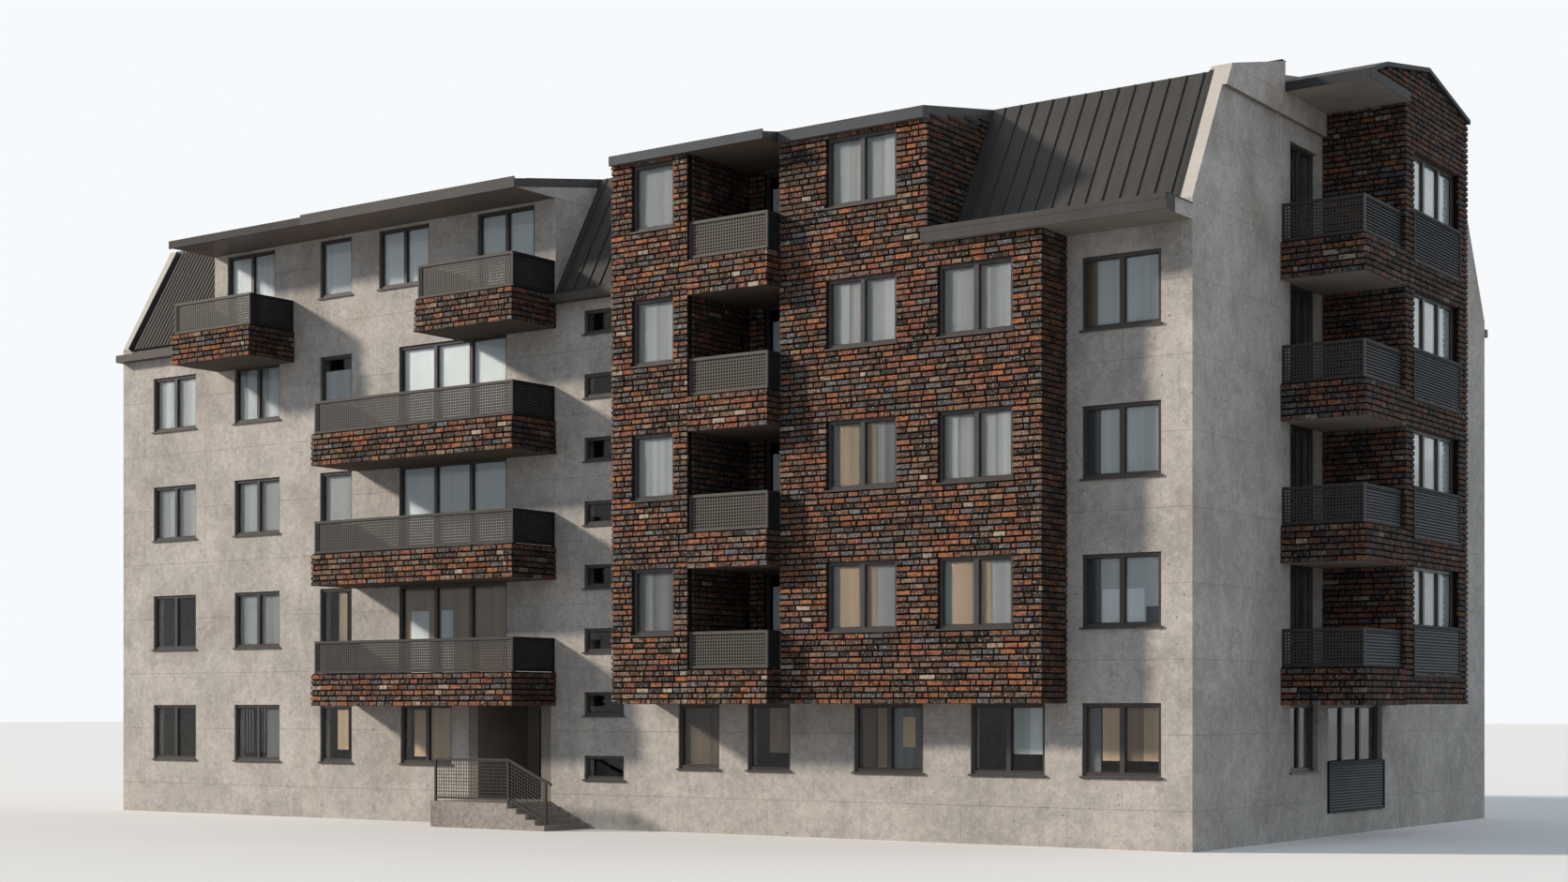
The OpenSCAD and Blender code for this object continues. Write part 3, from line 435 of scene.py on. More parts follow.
def brick_tree(material):
    """Rough bricks without backs, whose front edges are chamfered."""

    def shape(nodes, given):
        cube = nodes.add("GeometryNodeMeshCube", {1: 5, 2: 2, 3: 4}).outputs["Mesh"]
        normal = nodes.xyz(nodes.add("GeometryNodeInputNormal").outputs[0])
        back = nodes.add("FunctionNodeCompare", {0: normal[1], 1: 0.9}, operation="GREATER_THAN").outputs[0]
        cube = nodes.add("GeometryNodeDeleteGeometry", {0: cube, 1: back}, domain="FACE").outputs[0]
        place = nodes.xyz(nodes.add("GeometryNodeInputPosition").outputs[0])
        # The inner lines of corners move out to leave a flat face with a narrow chamfer
        spread_x = nodes.times(place[0], nodes.times(between(nodes, place[0], 0.4), 0.88))
        spread_z = nodes.times(place[2], nodes.times(between(nodes, place[2], 0.4), 1.46))
        rim = nodes.math("MAXIMUM", nodes.math("ABSOLUTE", place[0]), nodes.math("ABSOLUTE", place[2]))
        front_rim = nodes.times(nodes.math("GREATER_THAN", rim, 0.49), nodes.math("LESS_THAN", place[1], 0.0))
        offset = nodes.combine(spread_x, nodes.times(front_rim, given["Edge"]), spread_z)
        return nodes.add("GeometryNodeSetPosition", {"Geometry": cube, "Offset": offset}).outputs[0]

    nodes, given, made, end = instancer("Bricks", {"Edge": 0.14, "Roughness": 0.01, "Seed": 1.0}, shape)
    rough = given["Roughness"]
    noise = nodes.add("ShaderNodeTexNoise", {"W": given["Seed"], "Scale": 14.0, "Detail": 1.0},
                      noise_dimensions="4D")
    wander = nodes.vector("SUBTRACT", noise.outputs["Color"], (0.5, 0.5, 0.5))
    offset = nodes.vector("MULTIPLY", wander, nodes.combine(rough, rough, rough))
    made = nodes.add("GeometryNodeSetPosition", {"Geometry": made, "Offset": offset}).outputs[0]
    finish_tree(nodes, made, end, material)
    return nodes


def bar_tree(name, material):
    """Plain bars with one size and turn each."""

    def shape(nodes, _):
        return nodes.add("GeometryNodeMeshCube").outputs["Mesh"]

    nodes, _, made, end = instancer(name, {}, shape)
    finish_tree(nodes, made, end, material)
    return nodes


def line_of(nodes, shape, count, start, step):
    """Copies of a shape in a straight line."""
    line = nodes.add("GeometryNodeMeshLine", {"Count": count, "Start Location": start, "Offset": step},
                     mode="OFFSET").outputs[0]
    return nodes.add("GeometryNodeInstanceOnPoints", {"Points": line, "Instance": shape}).outputs[0]


def mesh_panel_tree(material):
    """A panel of crossing flat bars in the XZ plane, from the origin along X and up."""
    nodes, given, end = group("Mesh panel", {
        "Length": 1.0, "Height": 0.7, "Pitch": 0.06, "Web": 0.026, "Sheet": 0.004})
    length, height, web, sheet = (given[key] for key in ("Length", "Height", "Web", "Sheet"))
    parts = []
    for across, run, turned in ((length, height, False), (height, length, True)):
        count = nodes.math("ROUND", nodes.math("DIVIDE", across, given["Pitch"]))
        step = nodes.math("DIVIDE", nodes.minus(across, web), count)
        start = nodes.times(web, 0.5)
        middle = nodes.times(run, 0.5)
        layer = nodes.times(sheet, 1.5 if turned else 0.5)
        size = nodes.combine(run, sheet, web) if turned else nodes.combine(web, sheet, run)
        strip = nodes.add("GeometryNodeMeshCube", {0: size}).outputs["Mesh"]
        first = nodes.combine(middle, layer, start) if turned else nodes.combine(start, layer, middle)
        move = nodes.combine(0.0, 0.0, step) if turned else nodes.combine(step, 0.0, 0.0)
        parts.append(line_of(nodes, strip, nodes.plus(count, 1.0), first, move))
    join = nodes.add("GeometryNodeJoinGeometry")
    for part in parts:
        nodes.tree.links.new(part, join.inputs[0])
    made = nodes.add("GeometryNodeRealizeInstances", {0: join.outputs[0]}).outputs[0]
    finish_tree(nodes, made, end, material)
    return nodes


def slat_panel_tree(material):
    """A panel of sloping slats along X, from the origin upwards."""
    nodes, given, end = group("Slat panel", {
        "Length": 1.0, "Height": 0.7, "Pitch": 0.07, "Depth": 0.045, "Sheet": 0.006, "Tilt": 0.9})
    size = nodes.combine(given["Length"], given["Depth"], given["Sheet"])
    slat = nodes.add("GeometryNodeMeshCube", {0: size}).outputs["Mesh"]
    tilt = nodes.combine(given["Tilt"], 0.0, 0.0)
    slat = nodes.add("GeometryNodeTransform", {"Geometry": slat, "Rotation": tilt})
    count = nodes.math("FLOOR", nodes.math("DIVIDE", given["Height"], given["Pitch"]))
    step = nodes.math("DIVIDE", given["Height"], count)
    first = nodes.combine(nodes.times(given["Length"], 0.5), 0.0, nodes.times(step, 0.5))
    made = line_of(nodes, slat.outputs[0], count, first, nodes.combine(0.0, 0.0, step))
    made = nodes.add("GeometryNodeRealizeInstances", {0: made}).outputs[0]
    finish_tree(nodes, made, end, material)
    return nodes


# Finishes


def toned(colour, factor):
    """A lighter or darker colour."""
    return tuple(factor * c for c in colour)


def dusty(colour, factor):
    """A colour with dust on it."""
    return tuple(min(1.0, factor * c + 0.01) for c in colour)


def across_wall(s):
    """A wall's own two axes, along the wall and up, and 1 where it is upright and where it looks sideways."""
    normal = s.normal()
    place = s.xyz(s.place)
    side = s.math("GREATER_THAN", s.math("ABSOLUTE", normal[0]), 0.7)
    along = s.plus(s.times(side, place[1]), s.times(s.minus(1.0, side), place[0]))
    return along, place[2], s.math("LESS_THAN", s.math("ABSOLUTE", normal[2]), 0.5), side


def facing(s, upwards):
    """1 where a face looks up, or down."""
    normal = s.normal()
    return s.math("GREATER_THAN", s.times(normal[2], 1.0 if upwards else -1.0), 0.9)


def concrete(settings):
    """Fair-faced concrete with streaks, clouds, pits and the joints of the formwork, with painted light on
    faces that look up and painted shade on faces that look down.
    """
    s = Shader("Board-marked concrete", Roughness=0.9, Specular_IOR_Level=0.2)
    clouds = s.noise(0.55, 5.0, 0.6, distort=0.4)
    streaks = s.noise(1.0, 5.0, 0.65, at=s.stretched((3.2, 3.2, 0.45)))
    grain = s.noise(26.0, 4.0, 0.7)
    base = s.mix(s.step(clouds, 0.36, 0.66), tuple(settings.light), tuple(settings.dark))
    patches = s.noise(2.1, 8.0, 0.74, distort=0.6)
    base = s.stain(base, patches, 0.50, 0.64, 0.42, (0.30, 0.288, 0.278))
    base = s.stain(base, patches, 0.46, 0.34, 0.38, (0.74, 0.70, 0.655))
    base = s.stain(base, streaks, 0.52, 0.74, 0.22, (0.27, 0.26, 0.255))
    base = s.stain(base, streaks, 0.48, 0.27, 0.18, (0.70, 0.64, 0.58))
    base = s.stain(base, grain, 0.50, 0.62, 0.36, (0.30, 0.285, 0.27))
    mottle = s.noise(6.5, 6.0, 0.72, distort=0.8)
    base = s.stain(base, mottle, 0.51, 0.59, 0.27, (0.33, 0.315, 0.30))
    base = s.stain(base, mottle, 0.48, 0.40, 0.27, (0.74, 0.70, 0.655))
    bent = s.vector("ADD", s.place, s.add("ShaderNodeTexNoise", {
        "Vector": s.place, "Scale": 2.4, "Detail": 4.0, "Roughness": 0.62}).outputs["Color"])
    cells = s.add("ShaderNodeTexVoronoi", {"Vector": bent, "Scale": 0.9}, feature="DISTANCE_TO_EDGE")
    hairlines = s.times(s.math("LESS_THAN", cells.outputs["Distance"], 0.007), s.step(clouds, 0.47, 0.52))
    base = s.over(base, hairlines, 0.30, (0.20, 0.185, 0.17))
    along, up, upright, side = across_wall(s)
    first_joint = 0.77
    wall = s.combine(along, s.minus(up, first_joint), 0.0)
    panels = s.add("ShaderNodeTexBrick", {
        "Vector": wall, "Scale": 1.0, "Mortar Size": 0.007, "Mortar Smooth": 0.5,
        "Brick Width": settings.panel, "Row Height": STOREY / 2}, offset=0.5, squash=1.0)
    joints = s.times(panels.outputs["Fac"], upright)
    holes = pits(s, 6.5, 0.14)
    faint = s.minus(0.21, s.times(side, 0.14))
    base = s.over(base, joints, faint, (0.12, 0.115, 0.11))
    base = s.over(base, holes, 0.75, (0.13, 0.12, 0.11))
    stains = s.noise(0.9, 4.0, 0.6, at=s.stretched((1.0, 1.0, 0.6)))
    high = s.step(up, level(ATTIC) - 0.5, KERB_Z + 2.5)
    brown = s.plus(0.22, s.times(high, 0.4))
    base = s.stain(base, stains, 0.52, 0.70, brown, (0.34, 0.255, 0.19))
    normal = s.normal()
    # Faces that look up are painted lighter: partly cleaner concrete on the tops, partly painted light where
    # the light falls on them
    base = s.stain(base, normal[2], 0.2, 0.5, 0.8, (0.59, 0.555, 0.515))
    # Faces that look down get a much darker colour than the walls: painted shade under soffits and overhangs
    base = s.mix(facing(s, False), base, s.mix(clouds, (0.36, 0.325, 0.29), (0.27, 0.243, 0.218)))
    fine = s.noise(9.0, 5.0, 0.7, at=s.stretched((1.0, 1.0, 0.25)))
    height = s.plus(s.times(fine, 0.5), s.times(s.plus(joints, holes), -1.0))
    s.set(Base_Color=base, Normal=s.bump(height, 0.012, 0.7))
    return s.material


def pits(s, scale, largest):
    """1 in scattered small pits."""
    cells = s.add("ShaderNodeTexVoronoi", {"Vector": s.place, "Scale": scale})
    size = s.times(s.minus(s.xyz(cells.outputs["Color"])[0], 0.45), 1.8 * largest)
    return s.math("LESS_THAN", cells.outputs["Distance"], size)


def plaster(name, light, dark, roughness, pitted=0.0):
    """Smooth concrete or paint with soft clouds and a few pits."""
    s = Shader(name, Roughness=roughness, Specular_IOR_Level=0.2)
    clouds = s.noise(0.8, 4.0, 0.55)
    grain = s.noise(30.0, 3.0, 0.6)
    base = s.mix(s.step(clouds, 0.35, 0.65), light, dark)
    speckle = s.noise(13.0, 4.0, 0.7)
    base = s.over(base, grain, 0.15, toned(dark, 0.5))
    base = s.stain(base, speckle, 0.52, 0.64, 0.5 * pitted, toned(dark, 0.45))
    base = s.stain(base, speckle, 0.46, 0.36, 0.5 * pitted, toned(light, 1.5))
    base = s.mix(s.times(pits(s, 7.0, 0.13), pitted), base, toned(dark, 0.35))
    s.set(Base_Color=base, Normal=s.bump(grain, 0.002, 0.4))
    return s.material


def brick_finish():
    """Mixed bricks: charcoal, blue-grey, brown and orange-red, with pale burnt spots, and painted shade on
    faces that look sideways and on the gable's bricks.
    """
    s = Shader("Mixed bricks", Specular_IOR_Level=0.12)
    tone = s.add("ShaderNodeAttribute", attribute_name="tone").outputs["Fac"]
    colours = [
        (0.00, (0.030, 0.027, 0.027)), (0.06, (0.100, 0.100, 0.108)), (0.10, (0.088, 0.054, 0.041)),
        (0.18, (0.300, 0.115, 0.052)), (0.23, (0.135, 0.098, 0.078)), (0.29, (0.205, 0.083, 0.050)),
        (0.38, (0.040, 0.033, 0.033)), (0.44, (0.225, 0.148, 0.100)), (0.48, (0.145, 0.078, 0.060)),
        (0.56, (0.260, 0.102, 0.052)), (0.62, (0.082, 0.083, 0.090)), (0.66, (0.092, 0.055, 0.040)),
        (0.74, (0.165, 0.112, 0.086)), (0.79, (0.225, 0.084, 0.052)), (0.87, (0.125, 0.124, 0.130)),
        (0.90, (0.165, 0.082, 0.055)), (0.98, (0.380, 0.310, 0.250))]
    base = s.lit(s.bands(tone, colours), 0.86, s.math("FRACT", s.times(tone, 97.0)), 0.60)
    blotch = s.noise(8.0, 4.0, 0.66)
    speck = s.noise(21.0, 3.0, 0.74)
    base = s.stain(base, blotch, 0.50, 0.62, 0.70, (0.030, 0.023, 0.021))
    base = s.stain(base, blotch, 0.44, 0.30, 0.40, (0.300, 0.165, 0.100))
    base = s.stain(base, speck, 0.57, 0.63, 0.78, (0.470, 0.380, 0.300))
    base = s.stain(base, speck, 0.45, 0.36, 0.72, (0.018, 0.014, 0.013))
    # Faces that look sideways are painted darker: painted shade on the sides of the oriels, loggias, bay and
    # balconies
    normal = s.normal()
    sideways = s.step(s.math("ABSOLUTE", normal[0]), 0.5, 0.8)
    base = s.over(base, sideways, 0.60, (0.015, 0.0135, 0.0135))
    # Bricks on the gable are painted darker and cooler, the sideways ones more so: painted shade on the gable
    gable = s.math("GREATER_THAN", s.xyz(s.place)[0], at(LENGTH + 0.02, 0.0, 0.0).x)
    shaded = s.times(gable, s.minus(0.32, s.times(sideways, 0.22)))
    base = s.mix(shaded, base, (0.022, 0.022, 0.026))
    s.set(Base_Color=base, Roughness=s.plus(0.70, s.times(blotch, 0.2)),
          Normal=s.bump(s.plus(speck, blotch), 0.006, 0.8))
    return s.material


def mortar(name, under_light, under_dark):
    """Dark recessed mortar behind the bricks, with concrete undersides darkened as painted shade, and pavings.
    """
    s = Shader(name, Roughness=0.95, Specular_IOR_Level=0.05)
    grain = s.noise(40.0, 3.0, 0.7)
    clouds = s.noise(0.9, 4.0, 0.6)
    base = s.mix(grain, (0.006, 0.005, 0.005), (0.022, 0.018, 0.016))
    # Faces that look down take the underside colours, far darker than the wall concrete: painted shade under
    # the balconies and oriels
    under = s.mix(clouds, under_light, under_dark)
    base = s.mix(facing(s, False), base, under)
    base = s.mix(facing(s, True), base, (0.14, 0.13, 0.12))
    s.set(Base_Color=base, Normal=s.bump(grain, 0.004, 0.6))
    return s.material


def sheet_metal(name, colour, roughness, weather, under=None, shine=0.18, eave_tint=None):
    """Coated sheet metal with waves and rain marks, a lining below and a tint at the low eaves."""
    s = Shader(name, Specular_IOR_Level=shine)
    waves = s.noise(0.9, 3.0, 0.5)
    rain = s.noise(1.0, 4.0, 0.6, at=s.stretched((7.0, 1.6, 0.5)))
    scratch = s.noise(60.0, 2.0, 0.5)
    base = s.mix(s.times(s.step(rain, 0.42, 0.72), weather), tuple(colour), dusty(colour, 1.6))
    base = s.stain(base, waves, 0.40, 0.65, 0.35, toned(colour, 0.72))
    if under:
        lining = s.mix(waves, under, toned(under, 0.7))
        base = s.mix(facing(s, False), base, lining)
    if eave_tint:
        low = s.math("LESS_THAN", s.xyz(s.place)[2], level(ATTIC) + 1.5)
        base = s.mix(low, base, eave_tint, "MULTIPLY")
    rough = s.plus(roughness, s.times(s.minus(rain, 0.5), 0.22))
    height = s.plus(waves, s.times(scratch, 0.02))
    s.set(Base_Color=base, Roughness=rough, Normal=s.bump(height, 0.01, 0.3))
    return s.material


def coated(name, colour, roughness, shine=0.3):
    """Powder coat with a fine orange peel and a little dust on top."""
    s = Shader(name, Specular_IOR_Level=shine)
    peel = s.noise(160.0, 2.0, 0.5)
    dust = s.noise(3.0, 4.0, 0.6)
    base = s.mix(s.times(s.step(dust, 0.45, 0.75), 0.35), tuple(colour), dusty(colour, 1.35))
    rough = s.plus(roughness, s.times(s.minus(dust, 0.5), 0.2))
    s.set(Base_Color=base, Roughness=rough, Normal=s.bump(peel, 0.0006, 0.3))
    return s.material


def window_glass():
    """Coated double glazing, which lets lamps through."""
    s = Shader("Window glass", Roughness=0.03, IOR=1.27, Transmission_Weight=1.0,
               Base_Color=(0.68, 0.715, 0.73, 1.0))
    waves = s.noise(1.3, 2.0, 0.5)
    s.set(Normal=s.bump(waves, 0.002, 0.15))
    through = s.add("ShaderNodeBsdfTransparent", {0: (0.93, 0.945, 0.95, 1.0)}).outputs[0]
    lamp = s.add("ShaderNodeLightPath").outputs["Is Shadow Ray"]
    mixed = s.add("ShaderNodeMixShader", {0: lamp, 1: s.surface.outputs[0], 2: through})
    s.tree.links.new(mixed.outputs[0], s.tree.nodes["Material Output"].inputs[0])
    return s.material


def blind_finish(colour):
    """Woven slats of a vertical blind, white or, from tone 1 upwards, sand. The white is partly a painted
    reflection of the sky on the glass, and the darkest tones are painted shade of dark rooms.
    """
    s = Shader("Blind slats", Roughness=0.8)
    weave = s.noise(90.0, 2.0, 0.5, at=s.stretched((1.0, 1.0, 0.15)))
    tone = s.add("ShaderNodeAttribute", attribute_name="tone").outputs["Fac"]
    shade = s.math("FRACT", tone)
    # Tones just below a whole number give nearly black slats: painted shade of the dark rooms behind the glass
    white = s.mix(shade, tuple(colour), toned(colour, 0.05))
    sand = s.mix(shade, (0.62, 0.43, 0.28), (0.03, 0.022, 0.016))
    base = s.mix(s.math("GREATER_THAN", tone, 1.0), white, sand)
    base = s.lit(base, 0.9, weave, 0.2)
    s.set(Base_Color=base, Normal=s.bump(weave, 0.001, 0.5))
    return s.material


FINISH = {}


def finishes(scene):
    """Makes every finish once."""
    if FINISH:
        return FINISH
    FINISH.update(
        concrete=concrete(scene.block_concrete),
        # The soffit concrete is far darker than the wall concrete: painted shade under the brickwork
        soffit=plaster("Soffit concrete", (0.19, 0.163, 0.139), (0.135, 0.118, 0.10), 0.85),
        canopy=plaster("Canopy concrete", (0.46, 0.405, 0.36), (0.34, 0.295, 0.26), 0.85),
        steps=plaster("Step concrete", (0.39, 0.352, 0.32), (0.28, 0.25, 0.23), 0.85, 0.8),
        # The porch concrete is darker than the wall concrete: painted shade in the entrance recess
        porch=plaster("Porch concrete", (0.28, 0.252, 0.222), (0.22, 0.20, 0.175), 0.85, 0.4),
        floor=plaster("Floor screed", (0.20, 0.18, 0.165), (0.16, 0.145, 0.13), 0.8),
        # The undersides of the front and gable balconies differ only in painted shade: darker under the front
        # ones, lighter under the gable's
        mortar=mortar("Dark mortar", (0.150, 0.125, 0.105), (0.095, 0.078, 0.068)),
        gable_mortar=mortar("Gable mortar", (0.38, 0.35, 0.32), (0.24, 0.215, 0.195)),
        brick=brick_finish(),
        roof=sheet_metal("Standing seam metal", scene.block_roof.metal, 0.5, 0.30, (0.200, 0.158, 0.132)),
        ribbed=sheet_metal("Ribbed metal", (0.112, 0.099, 0.090), 0.6, 0.20),
        fascia=sheet_metal("Roof edge metal", (0.070, 0.080, 0.093), 0.6, 0.35, shine=0.15,
                           eave_tint=(0.96, 0.82, 0.69)),
        eave=sheet_metal("Eave edge metal", (0.068, 0.066, 0.064), 0.6, 0.35, shine=0.15),
        flashing=sheet_metal("Dark flashing", (0.050, 0.051, 0.054), 0.6, 0.35, shine=0.08),
        gutter=sheet_metal("Gutter metal", (0.084, 0.076, 0.070), 0.6, 0.35),
        railing=coated("Railing metal", scene.block_railings.metal, 0.5, 0.2),
        slats=coated("Slat metal", (0.062, 0.067, 0.077), 0.55, 0.12),
        # The side panel metal is the railing metal painted far darker: painted shade on the railings' sides
        sides=coated("Side panel metal", (0.019, 0.020, 0.022), 0.55, 0.08),
        screen=coated("Loggia screen metal", (0.090, 0.080, 0.072), 0.5, 0.2),
        frame=coated("Window frame metal", scene.block_windows.frame_colour, 0.36),
        door=coated("Door metal", (0.06, 0.062, 0.066), 0.4),
        glass=window_glass(),
        blind=blind_finish(scene.block_windows.blind_and_sky_colour),
    )
    return FINISH


# Pieces


def piece(name, mesh, slot_name, *replaced):
    """A finished piece of the block, which rides on its one body."""
    mesh.name = name
    made = bpy.data.objects.new(name, mesh)
    bpy.context.collection.objects.link(made)
    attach(made, "root")
    if replaced:
        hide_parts(*replaced)
    return made


def joined(name, parts, material=None):
    """One mesh from (mesh, matrix) pairs, of one material or of the parts' own."""
    vertices, faces, slots, materials = [], [], [], []
    for mesh, matrix in parts:
        first = len(vertices)
        vertices.extend(matrix @ v.co for v in mesh.vertices)
        flip = matrix.determinant() < 0.0
        own = material or next(m for m in mesh.materials if m)
        if own not in materials:
            materials.append(own)
        for polygon in mesh.polygons:
            corners = [first + i for i in polygon.vertices]
            faces.append(corners[::-1] if flip else corners)
            slots.append(materials.index(own))
    made = bpy.data.meshes.new(name)
    made.from_pydata(vertices, [], faces)
    for own in materials:
        made.materials.append(own)
    made.polygons.foreach_set("material_index", slots)
    return made


class Face:
    """An upright brick face.

    span gives its ends, along the building's x or y, at a height. laps tells for each end whether the
    even (0) or the odd (1) courses run past it. course is the height of its courses where they differ.
    """

    def __init__(self, side, plane, u0, u1, z0, z1, holes=(), span=None, laps=(None, None), course=None):
        self.side, self.plane, self.course = side, plane, course
        self.z0, self.z1, self.holes, self.laps = z0, z1, holes, laps
        self.span = span or (lambda z: (u0, u1))


def free_ranges(face, low, high):
    """Stretches of one course that are free of holes: (u0, u1, z0, z1)."""
    # Least height and length of a stretch, and height that a hole may reach into a course
    least, short, slit = 0.03, 0.04, 0.012
    u0, u1 = face.span((low + high) / 2)
    low, high = max(low, face.z0), min(high, face.z1)
    if high - low < least or u1 - u0 < short:
        return []
    near = [h for h in face.holes if h[2] < high - slit and h[3] > low + slit]
    cuts = sorted({u0, u1, *(min(max(c, u0), u1) for h in near for c in h[:2])})
    found = []
    for a, b in zip(cuts, cuts[1:]):
        blocks = sorted((h[2], h[3]) for h in near if h[0] < (a + b) / 2 < h[1])
        start = low
        for bottom, top in blocks + [(high, high)]:
            if bottom - start > least:
                ends = (a, start, bottom)
                if found and all(abs(p - q) < TINY for p, q in zip(found[-1][1:], ends)):
                    found[-1][1] = b
                else:
                    found.append([a, b, start, bottom])
            start = max(start, top)
    return found


def lay(faces, settings, rng):
    """Rows for points_mesh: one brick for each place in the courses of all faces."""
    rows = []
    for face in faces:
        base = face.z0 if face.course else BRICK_Z
        height = face.course or settings.course
        first = math.floor((face.z0 - base) / height + TINY)
        last = math.ceil((face.z1 - base) / height - TINY)
        for course in range(first, last):
            low = base + course * height
            high = low + height - settings.joint
            ends = face.span((low + high) / 2)
            for u0, u1, z0, z1 in free_ranges(face, low, high):
                # At a corner each face's courses run past it in turn
                if face.laps[0] == course % 2 and abs(u0 - ends[0]) < TINY:
                    u0 -= settings.proud
                if face.laps[1] == course % 2 and abs(u1 - ends[1]) < TINY:
                    u1 += settings.proud
                rows += lay_course(face, u0, u1, z0, z1, settings, rng)
    return rows


def lay_course(face, u0, u1, z0, z1, settings, rng):
    """Bricks of uneven length, one after the other from u0 to u1, some of them headers."""
    least, headers, header = 0.05, 0.12, (0.09, 0.14)
    while u1 - u0 > least:
        length = rng.uniform(settings.shortest, settings.longest)
        if rng.random() < headers:
            length = rng.uniform(*header)
        rest = u1 - u0 - length - settings.joint
        if rest < settings.shortest * 0.6:
            length = u1 - u0 if rest < 0.0 else (u1 - u0 - settings.joint) / 2
        out = settings.proud + rng.uniform(-0.5, 0.5) * settings.uneven - settings.depth / 2
        place = beside(face.side, face.plane, u0 + length / 2, (z0 + z1) / 2, out)
        size = (length, settings.depth, z1 - z0 - rng.uniform(0.0, 0.008))
        turn = (rng.uniform(-0.03, 0.03), rng.uniform(-0.012, 0.012), OUTWARD[face.side])
        yield bar(place, size, turn, rng.random())
        u0 += length + settings.joint * rng.uniform(0.6, 1.0)


def islands(node):
    """Boxes of a node's loose parts: (low, high), measured from the front's left end."""
    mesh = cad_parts[node].data
    parent = list(range(len(mesh.vertices)))

    def root(i):
        while parent[i] != i:
            parent[i] = parent[parent[i]]
            i = parent[i]
        return i

    corner = {}
    for i, vertex in enumerate(mesh.vertices):
        key = tuple(round(c, 5) for c in vertex.co)
        parent[root(i)] = root(corner.setdefault(key, i))
    for edge in mesh.edges:
        parent[root(edge.vertices[0])] = root(edge.vertices[1])
    found = {}
    for i, vertex in enumerate(mesh.vertices):
        found.setdefault(root(i), []).append(vertex.co)
    boxes = []
    for points in found.values():
        low = Vector([min(p[k] for p in points) for k in range(3)]) - FRONT_LEFT
        high = Vector([max(p[k] for p in points) for k in range(3)]) - FRONT_LEFT
        boxes.append((low, high))
    return sorted(boxes, key=lambda b: tuple(round(c, 3) for c in (*b[0], *b[1])))


class Window:
    """A glazed hole: side it faces, its u and z ranges, and the plane of its glass's outer face."""

    def __init__(self, low, high, side):
        self.side = side
        across = 0 if side in ("front", "rear") else 1
        self.u0, self.u1, self.z0, self.z1 = low[across], high[across], low.z, high.z
        self.glass = {"front": low.y, "rear": high.y, "left": low.x, "right": high.x}[side]
        self.width, self.height = self.u1 - self.u0, self.z1 - self.z0
        self.panes = 1 if self.width < 1.19 else 2 if self.width < 2.5 else 3
        self.door = self.height > 2.0
        self.small = self.height < 0.8

    def matrix(self, u, z, inward):
        """Takes x along the window (to the right from outside), y inwards and z up to the model's frame."""
        return turned(beside(self.side, self.glass, u, z, -inward), OUTWARD[self.side])


def windows():
    """Every glazed hole of the building."""
    found = [Window(low, high, "front") for low, high in islands("street_glass")]
    found += [Window(low, high, "rear") for low, high in islands("rear_glass")]
    for low, high in islands("gable_glass"):
        found.append(Window(low, high, "right" if low.x > LENGTH / 2 else "left"))
    return found


def holes(side, plane, found):
    """Window holes in a brick face, with the room that their sills take: (u0, u1, z0, z1)."""
    result = []
    for w in found:
        if w.side == side and 0.0 < abs(w.glass - plane) < 0.3:
            result.append((w.u0, w.u1, w.z0, w.z1))
            if not w.door:
                lug = SILL_LUG + SILL_GAP
                result.append((w.u0 - lug, w.u1 + lug, w.z0 - SILL_T - SILL_GAP, w.z0))
    return result


class BlockOperator:
    """Shared by the operators that dress the block."""

    bl_options = {"REGISTER", "UNDO"}


class BLOCK_OT_camera(BlockOperator, bpy.types.Operator):
    """Set up the camera in front of the block"""

    bl_idname = "block.camera"
    bl_label = "Camera"

    def execute(self, context):
        data = bpy.data.cameras.new("camera")
        data.sensor_width = 36.0
        data.lens = 51.82
        data.shift_y = 0.1717
        data.clip_end = 600.0
        camera = bpy.data.objects.new("camera", data)
        camera.location = (33.2905, -47.104, 2.70)
        camera.rotation_euler = (math.radians(90.0), 0.0, math.radians(35.495))
        context.collection.objects.link(camera)
        context.scene.camera = camera
        return {"FINISHED"}


def seen_directly(nodes):
    """1 for rays from the camera and for those that metal and glass turn, 0 for light on its way."""
    rays = nodes.add("ShaderNodeLightPath").outputs
    clear = nodes.math("MAXIMUM", rays["Is Glossy Ray"], rays["Is Transmission Ray"])
    return nodes.math("MAXIMUM", rays["Is Camera Ray"], clear)


